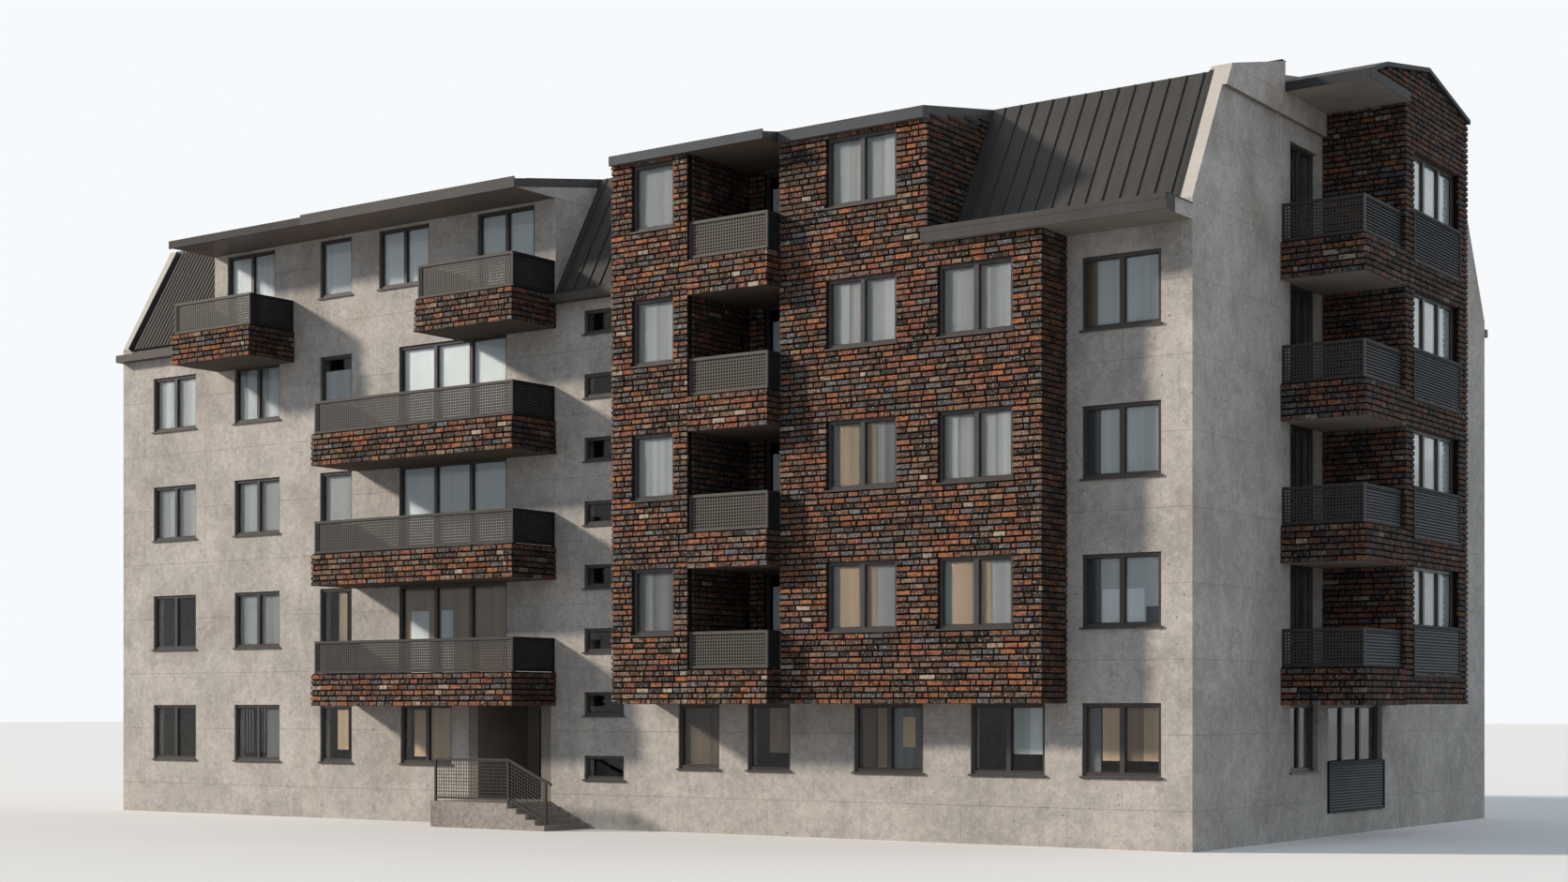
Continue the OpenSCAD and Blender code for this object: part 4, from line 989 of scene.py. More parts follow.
class BLOCK_OT_stage(BlockOperator, bpy.types.Operator):
    """Lay the pale floor and set the daylight"""

    bl_idname = "block.stage"
    bl_label = "Stage"

    def execute(self, context):
        s = Shader("Stage floor", Roughness=0.95)
        wash = s.noise(0.05, 2.0, 0.5)
        pale = s.mix(s.times(wash, 0.06), (0.80, 0.80, 0.80), (0.74, 0.74, 0.74))
        s.set(Base_Color=s.mix(seen_directly(s), (0.30, 0.29, 0.28), pale))
        mesh = bpy.data.meshes.new("stage_floor")
        reach = 400.0
        mesh.from_pydata([(-reach, -reach, 0), (reach, -reach, 0), (reach, reach, 0), (-reach, reach, 0)], [],
                         [(0, 1, 2, 3)])
        mesh.materials.append(s.material)
        floor = bpy.data.objects.new("stage_floor", mesh)
        context.collection.objects.link(floor)
        self.world(context)
        for name, energy, angle, colour, travel in (
                ("key light", 3.9, 5.0, (1.0, 0.88, 0.75), (0.795, 0.454, -0.402)),
                ("soft fill", 0.42, 60.0, (0.88, 0.94, 1.0), (-0.45, -0.70, -0.55))):
            lamp = bpy.data.lights.new(name, "SUN")
            lamp.energy, lamp.angle, lamp.color = energy, math.radians(angle), colour
            holder = bpy.data.objects.new(name, lamp)
            holder.rotation_euler = Vector(travel).to_track_quat("-Z", "Y").to_euler()
            context.collection.objects.link(holder)
        context.scene.view_settings.view_transform = "Standard"
        return {"FINISHED"}

    def world(self, context):
        world = bpy.data.worlds.new("daylight")
        world.use_nodes = True
        context.scene.world = world
        n = Nodes(world.node_tree)
        background = world.node_tree.nodes["Background"]
        background.inputs[0].default_value = (0.78, 0.89, 1.0, 1.0)
        background.inputs[1].default_value = 0.48
        seen = n.add("ShaderNodeBackground", {0: (0.93, 0.95, 0.97, 1.0), 1: 1.0}).outputs[0]
        mixed = n.add("ShaderNodeMixShader", {0: seen_directly(n), 1: background.outputs[0], 2: seen})
        n.tree.links.new(mixed.outputs[0], world.node_tree.nodes["World Output"].inputs[0])


class BLOCK_OT_finishes(BlockOperator, bpy.types.Operator):
    """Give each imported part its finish"""

    bl_idname = "block.finishes"
    bl_label = "Finishes of the packed parts"

    PARTS = {
        "concrete": ("ground_wall_left", "ground_wall_right", "front_wall_left", "front_wall_right",
                     "stair_wall", "attic_wall_front", "attic_wall_rear", "rear_wall", "gable_wall_left",
                     "gable_wall_right", "right_eave_slab"),
        "porch": ("entrance_porch",),
        "canopy": ("gable_canopy",),
        "steps": ("entrance_platform", "entrance_steps"),
        "soffit": ("brick_soffit",),
        "floor": ("floor_ground", "upper_floors"),
        "mortar": ("brick_tower_wall", "brick_block_wall", "gable_bay_wall", "loggia_walls",
                   "loggia_aprons", "front_balconies"),
        "gable_mortar": ("gable_balconies",),
        "roof": ("roof_front", "roof_rear", "mansard_front", "mansard_rear"),
        "flashing": ("bay_roof",),
        "fascia": ("roof_edges",),
        "gutter": ("gutters",),
        "railing": ("entrance_rail", "front_balcony_rails", "loggia_rails", "gable_balcony_rails",
                    "louvre_panels"),
        "frame": ("street_frames", "gable_frames", "rear_frames", "window_sills"),
        "door": ("entrance_door",),
        "glass": ("street_glass", "gable_glass", "rear_glass"),
    }

    def execute(self, context):
        made = finishes(context.scene)
        for key, names in self.PARTS.items():
            for name in names:
                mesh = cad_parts[name].data
                mesh.materials.clear()
                mesh.materials.append(made[key])
        return {"FINISHED"}


class BLOCK_OT_bricks(BlockOperator, bpy.types.Operator):
    """Lay the bricks of the oriels, the loggias, the bay and the balconies"""

    bl_idname = "block.bricks"
    bl_label = "Bricks"

    def execute(self, context):
        settings = context.scene.block_bricks
        tree = brick_tree(finishes(context.scene)["brick"])
        found = windows()
        for number, (name, faces) in enumerate(self.brickwork(found).items()):
            rng = random.Random(settings.seed + number)
            rows = lay(faces, settings, rng)
            values = {"Roughness": settings.roughness, "Seed": float(number)}
            piece(name, grow(points_mesh(name, rows), tree, values), "brick")
        return {"FINISHED"}

    def brickwork(self, found):
        """The brick faces of each piece."""
        block_holes = holes("front", BLOCK_Y, found)
        loggia_holes = holes("front", LOGGIA_Y, found)

        def tower_side(z):
            return TOWER_Y, steep_y(z)

        def cheek(z):
            return max(BLOCK_Y, under_roof_y(z)), steep_y(z)

        tower = [
            Face("front", TOWER_Y, TOWER_X0, PIER_X1, BRICK_Z, SOFFIT_Z, holes("front", TOWER_Y, found),
                 laps=(0, None)),
            Face("left", TOWER_X0, TOWER_Y, 0.0, BRICK_Z, SOFFIT_Z, span=tower_side, laps=(1, None)),
        ]
        block = [
            Face("front", BLOCK_Y, BLOCK_X0, BLOCK_ATTIC_X1, EAVE_TOP, SOFFIT_Z, block_holes, laps=(None, 0)),
            Face("front", BLOCK_Y, BLOCK_X0, BLOCK_X1, BRICK_Z, EAVE_Z, block_holes, laps=(None, 0)),
            Face("front", BLOCK_Y, BLOCK_X0, BLOCK_ATTIC_X1, EAVE_Z, EAVE_TOP, block_holes),
            Face("right", BLOCK_X1, BLOCK_Y, 0.0, BRICK_Z, EAVE_Z, laps=(1, None)),
            Face("right", BLOCK_ATTIC_X1, BLOCK_Y, 0.0, EAVE_Z + EAVE_T, BREAK_Z - ROOF_T, span=cheek,
                 laps=(1, None)),
        ]
        loggias = []
        # The bricks of a loggia's sides stand before the ends of its back wall
        side = 0.03
        for k in range(1, ATTIC + 1):
            low, high = level(k), (SOFFIT_Z if k == ATTIC else level(k + 1) - APRON_DROP)
            bottom, top = (BRICK_Z if k == 1 else low - APRON_DROP), low + APRON_RISE
            course = (top - bottom) / APRON_COURSES
            loggias += [
                Face("right", PIER_X1, TOWER_Y + APRON_T, LOGGIA_Y, low, high),
                Face("front", LOGGIA_Y, PIER_X1 + side, BLOCK_X0 - side, low, high, loggia_holes),
                Face("left", BLOCK_X0, BLOCK_Y, LOGGIA_Y, low, high),
                Face("front", TOWER_Y, PIER_X1, BLOCK_X0, bottom, top, laps=(None, 0), course=course),
                Face("right", BLOCK_X0, TOWER_Y, BLOCK_Y, bottom, top, laps=(1, None), course=course),
            ]
        return {"tower_bricks": tower, "block_bricks": block, "loggia_bricks": loggias,
                "bay_bricks": self.bay(found), "balcony_bricks": self.aprons()}

    def bay(self, found):
        """Brick bay on the right gable, whose outer face follows its roof."""
        outer = holes("right", BAY_X1, found)
        top = roof_z(BAY_RIDGE_Y) - BAY_ROOF_T
        end_z = top - BAY_FALL * (BAY_Y1 - BAY_RIDGE_Y)
        bend_z = roof_z(BAY_BEND_Y) - BAY_ROOF_T
        steepness = (roof_z(BAY_BEND_Y) - CANOPY_TOP) / (BAY_BEND_Y - GABLE_BALCONY_Y0)

        def under_roof(z):
            """Range of y in which the outer face reaches up to height z."""
            start = BAY_Y0
            if z > CANOPY_TOP:
                start = BAY_BEND_Y + (z - bend_z) / (steepness if z < bend_z else ROOF_RISE)
            return start, (BAY_Y1 if z < end_z else BAY_Y1 - (z - end_z) / BAY_FALL)

        return [
            Face("right", BAY_X1, BAY_Y0, BAY_Y1, BRICK_Z, CANOPY_Z, outer, laps=(0, 0)),
            Face("right", BAY_X1, BAY_Y0, BAY_Y1, CANOPY_Z, top, outer, laps=(None, 0), span=under_roof),
            Face("front", BAY_Y0, LENGTH, BAY_X1, BRICK_Z, CANOPY_Z, laps=(None, 1)),
            Face("rear", BAY_Y1, LENGTH, BAY_X1, BRICK_Z, end_z, laps=(None, 1)),
        ]

    def aprons(self):
        """Brick aprons round the balconies of the front and the gable."""
        faces = []
        course = (APRON_DROP + APRON_RISE) / APRON_COURSES
        for low, high in islands("front_balconies"):
            faces += [
                Face("front", low.y, low.x, high.x, low.z, high.z, laps=(0, 0), course=course),
                Face("left", low.x, low.y, 0.0, low.z, high.z, laps=(1, None), course=course),
                Face("right", high.x, low.y, 0.0, low.z, high.z, laps=(1, None), course=course),
            ]
        for low, high in islands("gable_balconies"):
            faces += [
                Face("front", low.y, LENGTH, high.x, low.z, high.z, laps=(None, 0), course=course),
                Face("right", high.x, low.y, BAY_Y0, low.z, high.z, laps=(1, None), course=course),
            ]
        return faces


class BLOCK_OT_roof(BlockOperator, bpy.types.Operator):
    """Fold the roof's seams and set its ridges, flashings and caps"""

    bl_idname = "block.roof"
    bl_label = "Roof seams"

    def execute(self, context):
        settings = context.scene.block_roof
        made = finishes(context.scene)
        tree = bar_tree("Seams", made["roof"])
        rows = []
        for line, x0, x1 in self.slopes(settings.seam_back):
            x = x1 - settings.first
            while x > x0 + 0.1:
                self.seam(rows, x, line, settings)
                x -= settings.pitch
        self.bay_seams(rows, settings)
        piece("roof_seams", bars("seams", rows, tree), "roof_metal")
        piece("roof_ribs", self.ribs(settings, made["ribbed"]), "roof_metal")
        piece("roof_trims", bars("trims", self.trims(), tree), "roof_metal")
        for name, rows, material in (("edge_sheets", self.edges(), made["eave"]),
                                     ("dark_sheets", self.dark_edges(), made["flashing"])):
            piece(name, bars(name, rows, bar_tree(name, material)), "roof_metal")
        return {"FINISHED"}

    # Thickness of the sheets, and height and run of the steep slopes
    SHEET = 0.012
    RISE, RUN = BREAK_Z - KERB_Z, STEEP_RUN

    def edges(self):
        """Edge sheets of the eave and the dormer, and caps on the parapets' high ends."""
        sheet = self.SHEET
        low, high = local("right_eave_slab")
        strip = low.z + ROOF_T
        lug = 0.06
        x0 = low.x - lug
        start, stop = self.dormer_joint()
        rows = [
            # Strip along the eave, its return round the right end, and the sheet on top
            bar(at((x0 + LENGTH + sheet) / 2, low.y - 1.5 * sheet, (strip + high.z) / 2),
                (LENGTH + sheet - x0, 3 * sheet, high.z - strip)),
            bar(at(LENGTH + sheet / 2, low.y + 0.16, (low.z + high.z) / 2), (sheet, 0.38, high.z - low.z)),
            bar(at((low.x + LENGTH) / 2, low.y / 2, high.z + sheet / 2),
                (LENGTH - low.x + 0.04, -low.y, sheet)),
            # Raised stretch of the dormer's edge
            bar(at((start + stop) / 2, -DORMER_REACH - ROOF_EDGE_T - sheet, SOFFIT_Z + ROOF_T / 2 + 0.02),
                (stop - start, 2 * sheet, ROOF_T + 0.05)),
        ]
        # A cap on each parapet's high end, and a sheet that hangs before it
        for x in (WALL_T / 2, LENGTH - WALL_T / 2):
            for turn, y in ((1.0, PARAPET_END_Y), (-1.0, DEPTH - PARAPET_END_Y)):
                z = roof_z(y) + PARAPET_END_H
                rows.append(bar(at(x, y - turn * 0.05, z + 0.01), (WALL_T + 0.03, 0.2, 0.02)))
                rows.append(bar(at(x, y + turn * 0.01, z - 0.12), (WALL_T + 0.02, 0.02, 0.26)))
        return rows

    def dark_edges(self):
        """Dark sheets beside the parapets, on the canopy's edges and left of the dormer edge's joint. The sheet
        beside the left parapet is a painted shadow of the parapet.
        """
        sheet, rise, run = self.SHEET, self.RISE, self.RUN - PARAPET_H / 2
        low, high = local("gable_canopy")
        middle_z, height = (low.z + high.z) / 2, high.z - low.z
        left, start = islands("roof_edges")[0][0].x, self.dormer_joint()[0]
        # The right parapet's sheet covers this share of its slope
        reach = 0.97
        half_run, half_rise = reach / 2 * run, reach / 2 * rise
        return [
            # Beside the left parapet, a painted shadow of the parapet, and on the right one
            bar(at(WALL_T + 0.07, self.RUN / 2 - 0.006, KERB_Z + rise / 2 + 0.003),
                (0.10, math.hypot(rise, self.RUN), sheet), (math.atan2(rise, self.RUN), 0.0, 0.0)),
            bar(at(LENGTH - WALL_T + 0.035, half_run - 0.004, KERB_Z + PARAPET_H + half_rise + 0.002),
                (0.09, reach * math.hypot(rise, run), sheet), (math.atan2(rise, run), 0.0, 0.0)),
            # On the canopy's front and right edge
            bar(at((LENGTH + high.x) / 2, low.y - sheet / 2, middle_z),
                (high.x - LENGTH + sheet, sheet, height)),
            bar(at(high.x + sheet / 2, (low.y + BAY_Y0) / 2, middle_z), (sheet, BAY_Y0 - low.y, height)),
            # Left stretch of the dormer's edge
            bar(at((left + start) / 2, -DORMER_REACH - ROOF_EDGE_T - sheet / 2, SOFFIT_Z + ROOF_T / 2),
                (start - left, sheet, ROOF_T - 0.01)),
        ]

    def dormer_joint(self):
        """Left and right end of the raised stretch of the street dormer's edge."""
        return DORMER_X0 + DORMER_JOINT, DORMER_X1

    def ribs(self, settings, material):
        """Sheet with broad ribs on the steep slope left of the dormer."""
        x0, x1 = WALL_T + 0.12, DORMER_X0
        count = round((x1 - x0) / settings.rib_pitch)
        pitch = (x1 - x0) / count
        # One rib: shares of the pitch and heights
        rib = ((0.34, 0.0), (0.39, 0.055), (0.60, 0.065), (0.88, 0.055), (0.93, 0.0))
        profile = [(0.0, 0.0)]
        for i in range(count):
            profile += [(pitch * (i + share), height) for share, height in rib]
        profile.append((pitch * count, 0.0))
        out = Vector((0.0, -self.RISE, self.RUN)).normalized()
        vertices = [at(x0 + x, y, z) + out * (h + 0.004)
                    for y, z in ((0.0, KERB_Z), (STEEP_RUN, BREAK_Z)) for x, h in profile]
        n = len(profile)
        mesh = bpy.data.meshes.new("roof_ribs")
        mesh.from_pydata(vertices, [], [(i, i + 1, n + i + 1, n + i) for i in range(n - 1)])
        mesh.materials.append(material)
        return mesh

    def slopes(self, back):
        """Slopes with seams: ((y0, z0, y1, z1), x0, x1)."""
        right = LENGTH - WALL_T
        steep = (0.0, KERB_Z, STEEP_RUN, BREAK_Z)
        back_steep = (DEPTH, KERB_Z, DEPTH - STEEP_RUN, BREAK_Z)

        def upper(y):
            start = y + (back if y < RIDGE_Y else -back)
            return start, roof_z(start), RIDGE_Y, roof_z(RIDGE_Y)

        front, rear = upper(STEEP_RUN), upper(DEPTH - STEEP_RUN)
        return [
            (steep, DORMER_X1, TOWER_X0),
            (steep, BLOCK_ATTIC_X1, right),
            (back_steep, WALL_T, REAR_DORMER_X0),
            (back_steep, REAR_DORMER_X1, right),
            (front, WALL_T, DORMER_X0),
            (upper(-DORMER_REACH), DORMER_X0, DORMER_X1),
            (front, DORMER_X1, TOWER_X0),
            (upper(TOWER_Y - ORIEL_EAVE), TOWER_X0, BLOCK_X0),
            (upper(BLOCK_Y - ORIEL_EAVE), BLOCK_X0, BLOCK_ATTIC_X1),
            (front, BLOCK_ATTIC_X1, right),
            (rear, WALL_T, REAR_DORMER_X0),
            (upper(REAR_EDGE_Y), REAR_DORMER_X0, REAR_DORMER_X1),
            (rear, REAR_DORMER_X1, right),
        ]

    def seam(self, rows, x, line, settings):
        """A fin along the line (y0, z0, y1, z1), with a folded head."""
        y0, z0, y1, z1 = line
        start, stop = Vector((x, y0, z0)), Vector((x, y1, z1))
        run = stop - start
        turn = (math.atan2(run.z, run.y), 0.0, 0.0)
        up = Vector((0.0, -run.z, run.y)).normalized()
        if up.z < 0.0:
            up = -up
        middle = (start + stop) / 2
        length = run.length - 0.04
        h, w = settings.seam_height, settings.seam_width
        rows.append(bar(at(*(middle + up * (h / 2 - 0.004))), (w, length, h), turn))
        rows.append(bar(at(*(middle + up * (h + 0.001))), (w * 1.7, length, 0.009), turn))

    def bay_seams(self, rows, settings):
        """Seams on the bay's roof, before and behind its ridge."""
        x0, x1 = LENGTH, local("bay_roof")[1].x
        top = roof_z(BAY_RIDGE_Y)
        start = BAY_BEND_Y + settings.seam_back / 2
        end = (BAY_Y1, top - BAY_FALL * (BAY_Y1 - BAY_RIDGE_Y))
        count = 5
        for i in range(1, count):
            x = x0 + (x1 - x0) * i / count
            self.seam(rows, x, (start, roof_z(start), BAY_RIDGE_Y, top), settings)
            self.seam(rows, x, (BAY_RIDGE_Y, top, *end), settings)

    def trims(self):
        """Ridge capping and upstands along the inner sides of the parapets."""
        right = LENGTH - WALL_T
        # Both halves of the ridge capping
        rows = []
        for side in (-1.0, 1.0):
            place = at(LENGTH / 2, RIDGE_Y + side * 0.1, roof_z(RIDGE_Y) + 0.03)
            turn = (-side * math.atan(ROOF_RISE), 0.0, 0.0)
            rows.append(bar(place, (LENGTH - 2 * WALL_T, 0.24, self.SHEET), turn))
        # Upstands on the street side and on the rear, higher along the left parapet
        slope, length = math.atan2(self.RISE, self.RUN), math.hypot(self.RISE, self.RUN)
        for y0, turn in ((0.0, 1.0), (DEPTH, -1.0)):
            middle = Vector((0.0, y0 + turn * self.RUN / 2, (KERB_Z + BREAK_Z) / 2))
            out = Vector((0.0, -turn * math.sin(slope), math.cos(slope)))
            for x, height in ((WALL_T + 0.01, 0.14), (right - 0.01, 0.05)):
                place = middle + out * (height / 2 - 0.002)
                rows.append(bar(at(x, place.y, place.z), (0.02, length, height), (turn * slope, 0.0, 0.0)))
        return rows


class BLOCK_OT_gusset(BlockOperator, bpy.types.Operator):
    """Line the dormers' ends under the sloping roof edge with concrete"""

    bl_idname = "block.gusset"
    bl_label = "Dormer ends"

    def execute(self, context):
        material = finishes(context.scene)["concrete"]
        for name, x0, x1, start, sign in (
                ("dormer_ends", DORMER_X0, DORMER_X1, -DORMER_REACH, 1.0),
                ("rear_dormer_ends", REAR_DORMER_X0, REAR_DORMER_X1, DEPTH - REAR_EDGE_Y, -1.0)):
            parts = [(self.plate(x, out, start, sign), Matrix()) for x, out in ((x0, -1.0), (x1, 1.0))]
            piece(name, joined(name, parts, material), "concrete")
        return {"FINISHED"}

    def plate(self, x, out, start, sign):
        """A thin plate in the plane x between the flat soffit and the sloping roof edge."""
        behind, thick = 0.1, 0.006
        stop = steep_y(SOFFIT_Z) + behind
        corners = [(start, SOFFIT_Z), (stop, SOFFIT_Z), (stop, roof_z(stop) - ROOF_T),
                   (start, SOFFIT_Z + 0.002)]
        place = [(y if sign > 0 else DEPTH - y, z) for y, z in corners]
        vertices = [at(x + out * t, y, z) for t in (0.0, thick) for y, z in place]
        faces = [(4, 5, 6, 7), (3, 2, 1, 0)] + [(i, (i + 1) % 4, (i + 1) % 4 + 4, i + 4) for i in range(4)]
        if out * sign < 0:
            faces = [face[::-1] for face in faces]
        mesh = bpy.data.meshes.new("plate")
        mesh.from_pydata(vertices, [], faces)
        return mesh


class BLOCK_OT_railings(BlockOperator, bpy.types.Operator):
    """Build the railings with their mesh, the slatted sides and the louvred panels"""

    bl_idname = "block.railings"
    bl_label = "Railings and louvres"

    # Width of the members, height of a railing above its apron and gap below its lowest rail
    RAIL, TOP_RAIL = 0.05, 0.062
    HEIGHT, GAP = 0.79, 0.012
    # Finish of the rails and of the infill, for each kind of panel. The sides finish is the railing metal
    # painted far darker: painted shade on the side panels and on the rails of the slatted panels.
    KINDS = {
        "mesh": ("railing", "railing"),
        "open": ("railing", "railing"),
        "side": ("sides", "sides"),
        "screen": ("screen", "screen"),
        "slats": ("sides", "slats"),
    }

    def execute(self, context):
        made = finishes(context.scene)
        self.settings = context.scene.block_railings
        self.frames, self.infills = {}, {}
        for kind, (rail, infill) in self.KINDS.items():
            self.frames[kind] = bar_tree("Rails", made[rail])
            self.infills[kind] = (slat_panel_tree if kind == "slats" else mesh_panel_tree)(made[infill])
        inset, lug = APRON_T / 2, 0.04
        balconies, loggias, gable = [], [], []
        for low, high in islands("front_balconies"):
            balconies += self.round(low.x + lug, high.x - lug, low.y + inset, 0.0, high.z, "both")
        for k in range(1, ATTIC + 1):
            top = level(k) + APRON_RISE
            loggias += self.round(PIER_X1, BLOCK_X0 - lug, TOWER_Y + inset, BLOCK_Y, top, "right")
        for low, high in islands("gable_balconies"):
            gable += self.round(LENGTH, high.x - inset, low.y + inset, BAY_Y0, high.z, "slats")
        for name, parts, node in (
                ("balcony_railings", balconies, "front_balcony_rails"),
                ("loggia_railings", loggias, "loggia_rails"),
                ("gable_railings", gable, "gable_balcony_rails")):
            piece(name, joined(name, parts), "rail_metal", node)
        self.louvres()
        self.entrance()
        return {"FINISHED"}

    def entrance(self):
        """Railing on the platform and down the steps, with welded wire mesh."""
        low, high = local("entrance_rail")
        bend, end = local("entrance_platform")[1].x, high.x
        r, foot, top = self.RAIL, 0.06, high.z - GROUND_FLOOR
        wire, thin, pitch = 0.016, 0.006, 0.078
        riser = local("entrance_steps")[1].z / 4
        fall = (GROUND_FLOOR - riser) / (end - bend)
        y, tilt = (low.y + high.y) / 2, math.atan(fall)

        def floor_at(x):
            return GROUND_FLOOR - max(0.0, x - bend) * fall

        def post(x, z0, z1, width, depth):
            return bar(at(x, y, floor_at(x) + (z0 + z1) / 2), (width, depth, z1 - z0))

        def flat(z, out, length, depth, height):
            """A bar over the platform, at a height above it."""
            return bar(at((low.x + bend) / 2, y - out, GROUND_FLOOR + z), (length, depth, height))

        def sloping(z, out, stop, depth, height):
            """A bar down the steps, from the bend to stop."""
            middle, length = (bend + stop) / 2, (stop - bend) / math.cos(tilt)
            place = at(middle, y - out, floor_at(middle) + z)
            return bar(place, (length, depth, height), (0.0, tilt, 0.0))

        # Rails, of which the upper one runs past the last post, and posts
        rows = []
        for z, reach in ((foot + r / 2, 0.0), (top - r / 2, 0.14)):
            rows.append(flat(z, 0.0, bend - low.x, r, r))
            rows.append(sloping(z, 0.0, end + reach, r, r * 0.98))
        for x, z0 in ((low.x + r / 2, -0.12), (bend - r / 2, 0.0), (end - r / 2, 0.0)):
            rows.append(post(x, z0, top - r / 2, r * 0.96, r * 0.96))
        # Upright and long wires
        x = low.x + r
        while x < end - r:
            rows.append(post(x, foot + r / 2, top - r / 2, wire, thin))
            x += pitch
        z = foot + r + pitch / 2
        while z < top - r:
            rows.append(flat(z, 0.005, bend - low.x - r, thin, wire))
            rows.append(sloping(z, 0.005, end, thin, wire))
            z += pitch
        mesh = bars("entrance_railing", rows, self.frames["mesh"])
        piece("entrance_railing", mesh, "rail_metal", "entrance_rail")

    def panel(self, length, kind):
        """One straight railing along X from the origin, with its middle at y 0: (mesh, matrix) pairs."""
        r, top, high = self.RAIL, self.TOP_RAIL, self.HEIGHT
        rows = [bar((length / 2, 0.0, self.GAP + r / 2), (length, r, r)),
                bar((length / 2, 0.0, high - top / 2), (length, r, top))]
        for x in (r / 2, length - r / 2):
            rows.append(bar((x, 0.0, high / 2), (r * 0.96, r * 0.96, high - 0.004)))
        rails = bars("rails", rows, self.frames[kind])
        # The infill reaches a little into the rails
        height = high - self.GAP - 2 * r + 0.02
        foot = self.GAP + r - 0.01
        if kind == "slats":
            back = self.backing(length, self.GAP + r / 2, high - top / 2)
            slats = self.slats(length - r, height)
            return [(rails, Matrix()), (back, Matrix()), (slats, Matrix.Translation((r / 2, 0.0, foot)))]
        s = self.settings
        web = {"mesh": s.web, "side": s.side_web}.get(kind, s.screen_web)
        infill = grow(bpy.data.meshes.new("mesh"), self.infills[kind], {
            "Length": length - r, "Height": height, "Pitch": s.pitch, "Sheet": s.sheet, "Web": web})
        return [(rails, Matrix()), (infill, Matrix.Translation((r / 2, -s.sheet, foot)))]

    def slats(self, length, height):
        """Sloping slats that fill a panel."""
        s = self.settings
        return grow(bpy.data.meshes.new("slats"), self.infills["slats"], {
            "Length": length, "Height": height, "Pitch": s.slat_pitch, "Depth": s.slat_depth,
            "Sheet": s.slat_sheet, "Tilt": s.slat_tilt})

    def backing(self, length, low, high):
        """Dark sheet behind the slats of a panel, between the heights low and high: painted shade in the gaps
        between the slats.
        """
        half = self.RAIL / 2
        size = (length - 2 * half, 0.004, high - low)
        rows = [bar((length / 2, half - 0.006, (low + high) / 2), size)]
        return bars("backing", rows, self.frames["side"])

    def strip(self):
        """Dark plate inside the left end of a railing's front: a painted shadow of the end post on the mesh."""
        r, width = self.RAIL, 0.09
        rows = [bar((r + width / 2, -0.012, self.HEIGHT / 2), (width, 0.008, self.HEIGHT - 2 * r))]
        return bars("strip", rows, self.frames["side"])

    def round(self, x0, x1, y0, y1, z, sides):
        """Railing round a balcony, from (x0, y0) to (x1, y0) and back to y1 at its open sides."""
        half = self.RAIL / 2
        start, stop = (x0 - half if sides == "both" else x0), x1 + half
        front = {"right": "screen", "slats": "open"}.get(sides, "mesh")
        side = "slats" if sides == "slats" else "side"
        depth = y1 - y0 - half
        runs = [(self.panel(stop - start, front), at(start, y0, z), 0.0)]
        if sides == "both":
            # A dark plate at the front's left end: painted shadow
            runs[0][0].append((self.strip(), Matrix()))
            runs.append((self.panel(depth, side), at(x0, y0 + half, z), math.pi / 2))
        runs.append((self.panel(depth, side), at(x1, y0 + half, z), math.pi / 2))
        return [(mesh, turned(place, turn) @ shift) for meshes, place, turn in runs for mesh, shift in meshes]

    def louvres(self):
        """Louvred panels in front of the bay's windows and the terrace window."""
        r = self.RAIL
        parts = []
        for low, high in islands("louvre_panels"):
            length, height = high.y - low.y, high.z - low.z
            rows = [bar((length / 2, 0.0, z), (length, 0.045, r)) for z in (r / 2, height - r / 2)]
            rows += [bar((x, 0.0, height / 2), (r, 0.044, height - 0.002)) for x in (r / 2, length - r / 2)]
            rails = bars("rails", rows, self.frames["slats"])
            slats = self.slats(length - r, height - 2 * r + 0.02)
            matrix = turned(at((low.x + high.x) / 2, low.y, low.z), math.pi / 2)
            parts += [(rails, matrix), (self.backing(length, r / 2, height - r / 2), matrix),
                      (slats, matrix @ Matrix.Translation((r / 2, 0.0, r - 0.01)))]
        piece("louvres", joined("louvres", parts), "rail_metal", "louvre_panels")


def whole(tone, *span):
    """A blind over a window's whole width.

    Blinds are written as start and stop as shares of the width, tone (white below 1, sand above it),
    layer from the back, and lower and upper end as shares of the height where one is shorter.
    """
    return (0.0, 1.0, tone, 0, *span)


